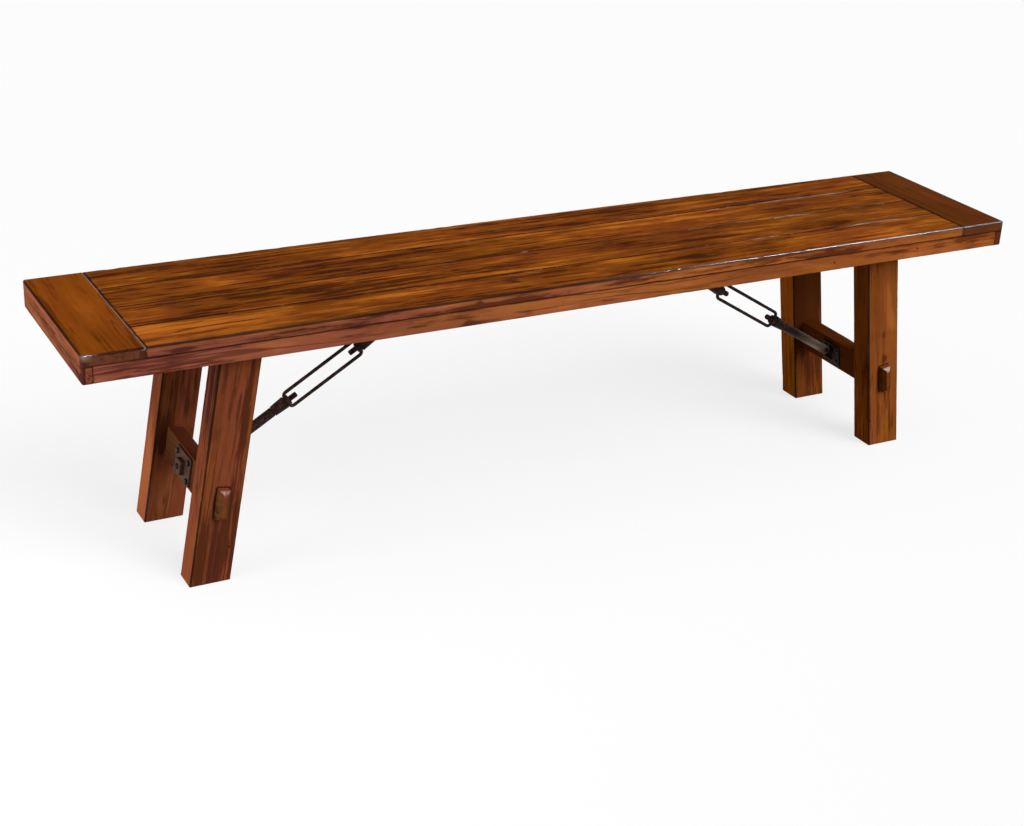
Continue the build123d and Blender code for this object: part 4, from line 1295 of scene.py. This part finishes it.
def wood_figure_group():
    """Growth rings, bands, lines and flecks along the grain, dark veins, pores and slow changes of tone."""
    name = "bench_wood_figure"
    if name in bpy.data.node_groups:
        return bpy.data.node_groups[name]
    inputs = {"Grain": VECTOR, "Stain": FLOAT, "Contrast": FLOAT}
    inputs.update({"Light": COLOUR, "Middle": COLOUR, "Dark": COLOUR})
    tree, given, made = new_group(name, inputs, {"Color": COLOUR, "Figure": FLOAT, "Pores": FLOAT})
    grain = given["Grain"]
    slow = tree.vector("SUBTRACT", tree.noise(grain, SLOW_BENDS, 2, 0.5, True), (0.5, 0.5, 0.5))
    quick = tree.vector("SUBTRACT", tree.noise(grain, QUICK_BENDS, 3, 0.5, True), (0.5, 0.5, 0.5))
    bent = tree.vector("ADD", grain, tree.vector("MULTIPLY", slow, SLOW_BEND_REACH))
    bent = tree.vector("ADD", bent, tree.vector("MULTIPLY", quick, QUICK_BEND_REACH))
    parts = tree.add("ShaderNodeSeparateXYZ", {0: bent}).outputs
    squares = tree.math("ADD", tree.math("POWER", parts["Y"], 2.0), tree.math("POWER", parts["Z"], 2.0))
    ring_place = tree.math("MULTIPLY", tree.math("SQRT", squares), RINGS_EACH_METRE)
    ring_values = {"W": ring_place, "Scale": 1.0, "Detail": 3.0, "Roughness": 0.6}
    rings = tree.add("ShaderNodeTexNoise", ring_values, noise_dimensions="1D").outputs["Fac"]
    lines = tree.spread(tree.noise(bent, GRAIN_LINES, 4, 0.62), 0.30, 0.70)
    figure = tree.total((
        (rings, 0.10),
        (lines, 0.10),
        (tree.noise(bent, GRAIN_BANDS, 5, 0.62), 0.22),
        (tree.noise(grain, FLECKS, 4, 0.65), 0.26),
        (tree.noise(grain, PATCHES, 4, 0.6), 0.32),
    ))
    figure = tree.math("MULTIPLY", tree.math("SUBTRACT", figure, 0.5), given["Contrast"])
    # The Stain input darkens or pales the figure by those marks, painted shade and painted light on the legs
    # among them
    stain_and_shade = tree.math("MULTIPLY", given["Stain"], tree.spread(lines, 0.2, 0.8, 0.17, 0.11))
    figure = tree.math("SUBTRACT", tree.math("ADD", figure, 0.5), stain_and_shade)
    colour = tree.mix(tree.spread(figure, 0.36, 0.50), given["Dark"], given["Middle"])
    colour = tree.mix(tree.spread(figure, 0.52, 0.72), colour, given["Light"])
    red = tree.spread(tree.noise(grain, RED_PLACES, 3, 0.55), 0.35, 0.65)
    hue = tree.mix(red, YELLOWER, REDDER)
    colour = tree.mix(1.0, colour, hue, "MULTIPLY")
    tone = tree.spread(tree.noise(grain, TONES, 2, 0.5), 0.3, 0.7, 0.80, 1.20)
    grey = tree.add("ShaderNodeCombineXYZ", {0: tone, 1: tone, 2: tone}).outputs[0]
    colour = tree.mix(1.0, colour, grey, "MULTIPLY")
    ridge = tree.math("ABSOLUTE", tree.math("SUBTRACT", tree.noise(bent, VEINS, 2, 0.5), 0.5))
    clusters = tree.spread(tree.noise(grain, VEIN_CLUSTERS, 2, 0.5), 0.48, 0.60)
    veins = tree.math("MULTIPLY", tree.spread(ridge, 0.020, 0.004), clusters)
    pores = tree.spread(tree.noise(grain, PORES, 2, 0.5), 0.62, 0.74)
    ticks = tree.math("MAXIMUM", tree.math("MULTIPLY", veins, 0.8), tree.math("MULTIPLY", pores, 0.35))
    tree.set(made["Color"], tree.mix(ticks, colour, given["Dark"]))
    tree.set(made["Figure"], figure)
    tree.set(made["Pores"], ticks)
    return tree.tree


def edge_wear_group():
    """Dark staining along edges and grooves, pale bare places rubbed through or painted as highlights, and
    broken lengths of shine.
    """
    name = "bench_edge_wear"
    if name in bpy.data.node_groups:
        return bpy.data.node_groups[name]
    inputs = {"Edge": FLOAT, "Shine": FLOAT, "Rub_and_highlight": FLOAT, "Grain": VECTOR}
    tree, given, made = new_group(name, inputs, {"Dark": FLOAT, "Bare": FLOAT, "Gloss": FLOAT})
    broken = tree.noise(given["Grain"], STAIN_BREAKS, 3, 0.6)
    rubbed = tree.noise(given["Grain"], RUBBED_PLACES, 4, 0.65)
    lengths = tree.noise(given["Grain"], SHINE_LENGTHS, 3, 0.6)
    dark = tree.math("ADD", given["Edge"], tree.math("MULTIPLY", broken, 0.9))
    tree.set(made["Dark"], tree.spread(dark, 0.85, 1.35))
    worn_and_lit = tree.spread(tree.math("ADD", given["Edge"], tree.math("MULTIPLY", rubbed, 1.1)), 1.72, 1.98)
    bare = tree.math("MULTIPLY", given["Rub_and_highlight"], tree.spread(rubbed, 0.32, 0.52))
    tree.set(made["Bare"], tree.math("MAXIMUM", tree.math("MULTIPLY", worn_and_lit, 0.7), bare))
    shine = tree.math("ADD", given["Shine"], tree.math("MULTIPLY", lengths, 0.8))
    tree.set(made["Gloss"], tree.math("MAXIMUM", tree.spread(shine, 1.0, 1.35), given["Rub_and_highlight"], True))
    return tree.tree


def knocks_group():
    """Scattered pits and worm holes as one mask, and short scratches as another."""
    name = "bench_knocks"
    if name in bpy.data.node_groups:
        return bpy.data.node_groups[name]
    tree, given, made = new_group(name, {"Grain": VECTOR}, {"Pits": FLOAT, "Scratches": FLOAT})
    cells = tree.add("ShaderNodeTexVoronoi", {"Vector": given["Grain"], "Scale": PITS_EACH_METRE})
    chance = tree.add("ShaderNodeSeparateColor", {0: cells.outputs["Color"]}).outputs[0]
    small = tree.spread(cells.outputs["Distance"], 0.075, 0.03)
    tree.set(made["Pits"], tree.math("MULTIPLY", small, tree.math("GREATER_THAN", chance, 0.72)))
    aslant = {"Vector": given["Grain"], "Angle": SCRATCH_SLANT}
    turned_grain = tree.add("ShaderNodeVectorRotate", aslant, rotation_type="Z_AXIS").outputs[0]
    lines = tree.noise(turned_grain, SCRATCH_LINES, 1, 0.4)
    places = tree.noise(given["Grain"], SCRATCH_PLACES, 1, 0.4)
    scratch = tree.math("MULTIPLY", tree.spread(lines, 0.70, 0.76), tree.spread(places, 0.60, 0.68))
    tree.set(made["Scratches"], scratch)
    return tree.tree


def iron_patina_group():
    """Mottled dark finish of old iron, thin in places."""
    name = "bench_iron_patina"
    if name in bpy.data.node_groups:
        return bpy.data.node_groups[name]
    inputs = {"Place": VECTOR, "Dark": COLOUR, "Brown": COLOUR}
    tree, given, made = new_group(name, inputs, {"Color": COLOUR, "Grain": FLOAT, "Gloss": FLOAT})
    mottle = tree.noise(given["Place"], MOTTLES, 4, 0.6)
    grain = tree.noise(given["Place"], CAST_GRAINS, 3, 0.6)
    thin = tree.spread(mottle, 0.35, 0.75)
    tree.set(made["Color"], tree.mix(thin, given["Dark"], given["Brown"]))
    tree.set(made["Grain"], tree.math("ADD", grain, tree.math("MULTIPLY", mottle, 0.7)))
    tree.set(made["Gloss"], tree.spread(mottle, 0.3, 0.7, 0.36, 0.56))
    return tree.tree


def start_material(name):
    """A new material whose tree holds only its Principled shader and its output."""
    material = bpy.data.materials.new(name)
    material.use_nodes = True
    material.node_tree.nodes.clear()
    tree = Tree(material.node_tree)
    shader = tree.add("ShaderNodeBsdfPrincipled")
    output = tree.add("ShaderNodeOutputMaterial")
    tree.set(output.inputs["Surface"], shader.outputs["BSDF"])
    return material, tree, shader


def colour4(colour):
    """A settings colour with full alpha."""
    return (*colour, 1.0)


# Strengths of the wood's effects, and its shaders' plain values
PIT_STAIN = 0.85
END_SOAK = 0.75
EDGE_STAIN = 0.85
FIGURE_HEIGHT = 0.5
PORE_DEPTH = 0.3
PIT_DEPTH = 0.9
LACQUER_ROUGHNESS = 0.12
WOOD_SPECULAR = 0.002
METAL_SPECULAR = 0.03

# Tints of a wood at the bench's left end and at its right end; those of the seat's sides, the legs and the
# stretchers are painted light and shade
PLAIN_TINTS = ((1, 1, 1, 1), (1, 1, 1, 1))
# Painted light: the seat's sides and strips purpler and darker at the left end, warmer and more orange at
# the right
EDGE_LIGHT_TINTS = ((0.73, 0.69, 0.70, 1), (0.90, 0.85, 0.34, 1))
END_TINTS = ((1, 1, 1, 1), (0.58, 0.62, 1.1, 1))
# Painted light: the legs darker and bluer at the left end, lighter and yellower at the right; also on the
# stretchers' top and bottom
LEG_LIGHT_TINTS = ((0.86, 0.86, 0.92, 1), (1.28, 1.34, 0.75, 1))
# Painted light and shade: the legs' sides lighter at the left end, where light falls from that end, and
# darker at the right, under the seat
LEG_SIDE_LIGHT_TINTS = ((1.18, 1.22, 4.4, 1), (0.88, 0.80, 0.6, 1))
# Painted shade: the stretchers' outer and inner faces darkened at both ends, under the seat
RAIL_SHADE_TINTS = ((0.52, 0.70, 2.1, 1), (0.50, 0.46, 0.6, 1))


def stained_wood(
        name, colours, side_colours, contrast, face_tints=PLAIN_TINTS, side_tints=EDGE_LIGHT_TINTS,
        left_gloss=1.0, scratched=0.0, from_attributes=True):
    """Stained and lacquered hardwood: figure, end grain, edge wear and knocks over a satin shader.

    The tints are what the colours are multiplied by at the bench's two ends, most of them painted light and
    shade; left_gloss is the share of the edges' shine that is left on the left half, where wear has dulled
    it.
    """
    if name in bpy.data.materials:
        return bpy.data.materials[name]
    timber_set = settings()[0]
    material, tree, shader = start_material(name)
    place = tree.add("ShaderNodeTexCoord").outputs["Object"]

    def carried_value(label, output="Fac"):
        return tree.add("ShaderNodeAttribute", attribute_name=label).outputs[output]

    if from_attributes:
        grain = carried_value("grain", "Vector")
    else:
        grain = tree.add("ShaderNodeMapping", {"Vector": place, "Rotation": (0, 0, radians(90))}).outputs[0]
    cut = {"Grain": grain, "Contrast": contrast}
    figure = tree.add("ShaderNodeGroup", cut, node_tree=wood_figure_group())
    if from_attributes:
        along = tree.add("ShaderNodeSeparateXYZ", {0: place}).outputs["X"]
        # From left to right a tint multiplies the colours: painted light and shade on the seat's sides, the
        # legs and the stretchers
        right = tree.spread(along, -0.9, 0.7)
        face_tint = tree.mix(right, *face_tints)
        side_tint = tree.mix(right, *side_tints)
        side = carried_value("side")
        tree.set(figure.inputs["Stain"], carried_value("stain_and_shade"))
    for key, colour, side_colour in zip(("Light", "Middle", "Dark"), colours, side_colours):
        tone = colour4(colour)
        if from_attributes:
            face_tone = tree.mix(1.0, tone, face_tint, "MULTIPLY")
            side_tone = tree.mix(1.0, colour4(side_colour), side_tint, "MULTIPLY")
            tone = tree.mix(side, face_tone, side_tone)
        tree.set(figure.inputs[key], tone)
    knocks = tree.add("ShaderNodeGroup", {"Grain": grain}, node_tree=knocks_group())
    dark = colour4(timber_set.rubbed_dark)
    pale = colour4(timber_set.pale_wear_and_highlight)
    pits = knocks.outputs["Pits"]
    colour = tree.mix(tree.math("MULTIPLY", pits, PIT_STAIN), figure.outputs["Color"], dark)
    if from_attributes:
        wear = tree.add("ShaderNodeGroup", {"Grain": grain}, node_tree=edge_wear_group())
        for key in ("Edge", "Shine", "Rub_and_highlight"):
            tree.set(wear.inputs[key], carried_value(key.lower()))
        end_share = tree.math("MULTIPLY", carried_value("end_face"), END_SOAK)
        colour = tree.mix(end_share, colour, colour4(timber_set.end_grain))
        colour = tree.mix(tree.math("MULTIPLY", wear.outputs["Dark"], EDGE_STAIN), colour, dark)
        # Pale bare edges, and pale painted highlights at the left joint, the seat's corners and the tenons'
        # upper bevels
        colour = tree.mix(wear.outputs["Bare"], colour, pale)
        kept_gloss = tree.spread(along, -0.15, 0.30, left_gloss, 1.0)
        tree.set(shader.inputs["Coat Weight"], tree.math("MULTIPLY", wear.outputs["Gloss"], kept_gloss))
        shader.inputs["Coat Roughness"].default_value = LACQUER_ROUGHNESS
    colour = tree.mix(tree.math("MULTIPLY", knocks.outputs["Scratches"], scratched), colour, pale)
    height = tree.total((
        (figure.outputs["Figure"], FIGURE_HEIGHT),
        (figure.outputs["Pores"], -PORE_DEPTH),
        (pits, -PIT_DEPTH),
    ))
    bump = tree.add("ShaderNodeBump", {"Strength": 0.3, "Distance": 0.0008, "Height": height})
    roughness = tree.spread(figure.outputs["Figure"], 0.35, 0.65, 0.62, 0.50)
    if from_attributes:
        dry = tree.spread(carried_value("edge"), 0.2, 0.6, 0.0, 0.95)
        roughness = tree.math("MAXIMUM", roughness, dry)
    tree.set(shader.inputs["Base Color"], colour)
    tree.set(shader.inputs["Roughness"], roughness)
    tree.set(shader.inputs["Normal"], bump.outputs["Normal"])
    shader.inputs["Specular IOR Level"].default_value = WOOD_SPECULAR
    return material


def wood_colours(prefix):
    """The light, middle and dark colours of one wood."""
    timber_set = settings()[0]
    return [getattr(timber_set, f"{prefix}_{tone}") for tone in ("light", "middle", "dark")]


def seat_wood():
    """Amber-brown wood of the seat, redder down its sides, which are painted purpler at the left end and
    more orange at the right as painted light.
    """
    return stained_wood(
        "bench_seat_wood", wood_colours("seat"), wood_colours("edge"), 1.8, left_gloss=0.06, scratched=0.25)


def end_wood():
    """Plainer golden wood of the end boards, darker at the right, with painted light on their sides: purpler
    at the left end, more orange at the right.
    """
    return stained_wood("bench_end_wood", wood_colours("end"), wood_colours("edge"), 1.1, END_TINTS)


def edge_wood():
    """Redder wood of the strips round the seat, painted purpler at the left end and more orange at the right
    as painted light.
    """
    return stained_wood("bench_edge_wood", wood_colours("edge"), wood_colours("edge"), 1.4, EDGE_LIGHT_TINTS)


def leg_wood():
    """Red-brown wood of the legs, more orange on the sides that face along the bench; painted light makes
    the legs lighter and yellower towards the right, and their sides lighter at the left end and darker at
    the right.
    """
    return stained_wood(
        "bench_leg_wood", wood_colours("leg"), wood_colours("seat"), 1.0, LEG_LIGHT_TINTS, LEG_SIDE_LIGHT_TINTS)


def rail_wood():
    """Wood of the stretchers, near the legs' orange sides but darker, with painted shade on their outer and
    inner faces and the legs' painted light on their top and bottom.
    """
    return stained_wood(
        "bench_rail_wood", wood_colours("seat"), wood_colours("leg"), 0.8, RAIL_SHADE_TINTS, LEG_LIGHT_TINTS)


def under_wood():
    """Plainer wood of the hidden timbers, with the grain across the bench."""
    return stained_wood(
        "bench_under_wood", wood_colours("leg"), wood_colours("leg"), 0.8, from_attributes=False)


def old_metal(name, dark, brown, metallic):
    """Dark mottled metal with a fine cast grain."""
    if name in bpy.data.materials:
        return bpy.data.materials[name]
    material, tree, shader = start_material(name)
    place = tree.add("ShaderNodeTexCoord").outputs["Object"]
    patina = tree.add("ShaderNodeGroup", node_tree=iron_patina_group())
    for key, value in {"Place": place, "Dark": colour4(dark), "Brown": colour4(brown)}.items():
        tree.set(patina.inputs[key], value)
    bump_values = {"Strength": 0.4, "Distance": 0.0004, "Height": patina.outputs["Grain"]}
    bump = tree.add("ShaderNodeBump", bump_values)
    # Where a piece carries it, a pale painted-light colour is mixed into the patina
    worn_and_lit = tree.add("ShaderNodeAttribute", attribute_name="worn_and_lit").outputs["Fac"]
    colour = tree.mix(worn_and_lit, patina.outputs["Color"], colour4(settings()[1].iron_painted_light))
    tree.set(shader.inputs["Base Color"], colour)
    tree.set(shader.inputs["Roughness"], patina.outputs["Gloss"])
    tree.set(shader.inputs["Normal"], bump.outputs["Normal"])
    shader.inputs["Metallic"].default_value = metallic
    shader.inputs["Specular IOR Level"].default_value = METAL_SPECULAR
    return material


def antique_iron():
    """Brown-black iron of the braces."""
    iron = settings()[1]
    return old_metal("bench_antique_iron", iron.iron_dark, iron.iron_brown, 0.2)


def rusted_iron():
    """Browner iron of the plates and nuts on the stretchers' outer sides."""
    iron = settings()[1]
    return old_metal("bench_rusted_iron", iron.iron_brown, iron.iron_rust, 0.1)


def dark_steel():
    """Blackened steel of the fasteners."""
    iron = settings()[1]
    return old_metal("bench_dark_steel", iron.iron_dark, iron.iron_brown, 0.6)


# Stage

# Distant lamps: the direction from the bench, the angle that each one fills, and what it does not light
KEY_LAMP = ((0.30, -0.64, 0.71), radians(40), "visible_glossy")
FILL_LAMP = ((0.38, -0.84, 0.40), radians(38), "visible_glossy")
GLINT_LAMP = ((0.605, -0.29, 0.74), radians(8), "visible_diffuse")
CORNER_LAMP = ((0.20, -0.35, 0.91), radians(8), "visible_diffuse")
BOX_TARGET = (0, 0, 0.3)
BOX_SIZE = 0.9
DOME_FOOT = 0.56
DOME_HEAD = 0.92
FLOOR_ROUGHNESS = 0.9
SENSOR_WIDTH = 36.0
WHITE = (1, 1, 1, 1)


class BENCH_OT_stage(Operator):
    """Makes the floor, the soft light and the camera at the photograph's viewing angle"""

    bl_idname = "bench.stage"
    bl_label = "Stage"

    def execute(self, context):
        stage = settings()[2]
        scene = context.scene
        scene.view_settings.view_transform = "Standard"
        make_floor(stage)
        make_sky(scene, stage)
        add_soft_box("left_box", stage.left_place, BOX_TARGET, stage.left_power)
        add_sun("key_light", stage.key_strength, *KEY_LAMP)
        add_sun("front_fill", stage.fill_strength, *FILL_LAMP)
        add_sun("edge_glint", stage.glint_strength, *GLINT_LAMP)
        add_sun("corner_glint", stage.corner_strength, *CORNER_LAMP)
        make_camera(scene, stage)
        return {"FINISHED"}


def make_floor(stage):
    """A large pale floor at the level of the feet, clear when it is seen from below."""
    size = stage.floor_size
    mesh = bpy.data.meshes.new("floor")
    corners = [(-size, -size, 0), (size, -size, 0), (size, size, 0), (-size, size, 0)]
    mesh.from_pydata(corners, [], [(0, 1, 2, 3)])
    material, tree, shader = start_material("floor_paint")
    output = next(node for node in material.node_tree.nodes if node.type == "OUTPUT_MATERIAL")
    seen = seen_directly(tree)
    colour = tree.mix(seen, colour4(stage.floor_bounce), colour4(stage.floor_colour))
    tree.set(shader.inputs["Base Color"], colour)
    shader.inputs["Roughness"].default_value = FLOOR_ROUGHNESS
    shader.inputs["Specular IOR Level"].default_value = 0.0
    lift = tree.add("ShaderNodeEmission", {"Color": WHITE, "Strength": 1.0})
    share = tree.math("MULTIPLY", seen, stage.shadow_lift)
    both = tree.add("ShaderNodeMixShader", {0: share, 1: shader.outputs[0], 2: lift.outputs[0]})
    below = tree.add("ShaderNodeNewGeometry").outputs["Backfacing"]
    clear = tree.add("ShaderNodeBsdfTransparent")
    sided = tree.add("ShaderNodeMixShader", {0: below, 1: both.outputs[0], 2: clear.outputs[0]})
    tree.set(output.inputs["Surface"], sided.outputs[0])
    mesh.materials.append(material)
    floor = bpy.data.objects.new("floor", mesh)
    bpy.context.scene.collection.objects.link(floor)


def seen_directly(tree):
    """1 for what the camera sees, also in gloss and through glass, and 0 for light on the bench."""
    ray = tree.add("ShaderNodeLightPath").outputs
    seen = tree.math("MAXIMUM", ray["Is Camera Ray"], ray["Is Glossy Ray"])
    return tree.math("MAXIMUM", seen, ray["Is Transmission Ray"])


def make_sky(scene, stage):
    """A soft dome, bright overhead and dimmer towards the horizon, that is plain white where it is seen."""
    world = bpy.data.worlds.new("studio")
    world.use_nodes = True
    world.node_tree.nodes.clear()
    tree = Tree(world.node_tree)
    direction = tree.add("ShaderNodeTexCoord").outputs["Generated"]
    height = tree.add("ShaderNodeSeparateXYZ", {0: direction}).outputs["Z"]
    strength = tree.spread(height, DOME_FOOT, DOME_HEAD, stage.sky_low, stage.sky_high)
    strength = tree.math("MAXIMUM", strength, seen_directly(tree))
    background = tree.add("ShaderNodeBackground", {"Color": WHITE, "Strength": strength})
    output = tree.add("ShaderNodeOutputWorld")
    tree.set(output.inputs["Surface"], background.outputs[0])
    scene.world = world


def add_sun(name, strength, towards, angle, left_out):
    """A distant lamp in one direction, as wide as its angle, that leaves out one kind of light."""
    lamp = bpy.data.lights.new(name, "SUN")
    lamp.energy = strength
    lamp.angle = angle
    sun = bpy.data.objects.new(name, lamp)
    sun.rotation_euler = Vector(towards).to_track_quat("Z", "Y").to_euler()
    setattr(sun, left_out, False)
    bpy.context.scene.collection.objects.link(sun)


def add_soft_box(name, place, target, power):
    """A square lamp of soft light, turned towards a target and hidden from the camera."""
    lamp = bpy.data.lights.new(name, "AREA")
    lamp.energy = power
    lamp.size = BOX_SIZE
    box = bpy.data.objects.new(name, lamp)
    box.location = place
    box.rotation_euler = (Vector(place) - Vector(target)).to_track_quat("Z", "Y").to_euler()
    box.visible_camera = False
    bpy.context.scene.collection.objects.link(box)


def make_camera(scene, stage):
    """The camera looks down on the bench from its front left, rolled a little."""
    heading = Vector((
        sin(stage.azimuth) * cos(stage.elevation),
        cos(stage.azimuth) * cos(stage.elevation),
        -sin(stage.elevation),
    ))
    level = Vector((cos(stage.azimuth), -sin(stage.azimuth), 0))
    up = level.cross(heading)
    right = level * cos(stage.roll) + up * sin(stage.roll)
    top = up * cos(stage.roll) - level * sin(stage.roll)
    place = Vector(stage.target) - heading * stage.distance
    data = bpy.data.cameras.new("camera")
    data.lens = stage.lens
    data.sensor_width = SENSOR_WIDTH
    camera = bpy.data.objects.new("camera", data)
    rotation = Matrix((right, top, -heading)).transposed()
    camera.matrix_world = Matrix.Translation(place) @ rotation.to_4x4()
    scene.collection.objects.link(camera)
    scene.camera = camera


class BENCH_PT_panel(Panel):
    """Lists the bench's pieces and their settings in the sidebar"""

    bl_idname = "BENCH_PT_panel"
    bl_label = "Dining bench"
    bl_space_type = "VIEW_3D"
    bl_region_type = "UI"
    bl_category = "Bench"

    def draw(self, context):
        for operator in OPERATORS:
            self.layout.operator(operator.bl_idname)
        for group in settings():
            box = self.layout.box()
            for name in group.__annotations__:
                box.prop(group, name)


OPERATORS = (
    BENCH_OT_seat_planks,
    BENCH_OT_end_boards,
    BENCH_OT_edge_strips,
    BENCH_OT_legs,
    BENCH_OT_stretchers,
    BENCH_OT_under_timbers,
    BENCH_OT_rods,
    BENCH_OT_turnbuckles,
    BENCH_OT_brackets,
    BENCH_OT_fasteners,
    BENCH_OT_stage,
)
GROUPS = (TimberSettings, IronSettings, StageSettings)


def register():
    """Registers the settings, the operators and the panel."""
    for item in (*GROUPS, *OPERATORS, BENCH_PT_panel):
        bpy.utils.register_class(item)
    bpy.types.Scene.bench_timber = PointerProperty(type=TimberSettings)
    bpy.types.Scene.bench_iron = PointerProperty(type=IronSettings)
    bpy.types.Scene.bench_stage = PointerProperty(type=StageSettings)


def unregister():
    """Takes them out again."""
    del bpy.types.Scene.bench_stage
    del bpy.types.Scene.bench_iron
    del bpy.types.Scene.bench_timber
    for item in reversed((*GROUPS, *OPERATORS, BENCH_PT_panel)):
        bpy.utils.unregister_class(item)


def main():
    register()
    for operator in OPERATORS:
        group, name = operator.bl_idname.split(".")
        getattr(getattr(bpy.ops, group), name)()


if __name__ == "__main__":
    main()
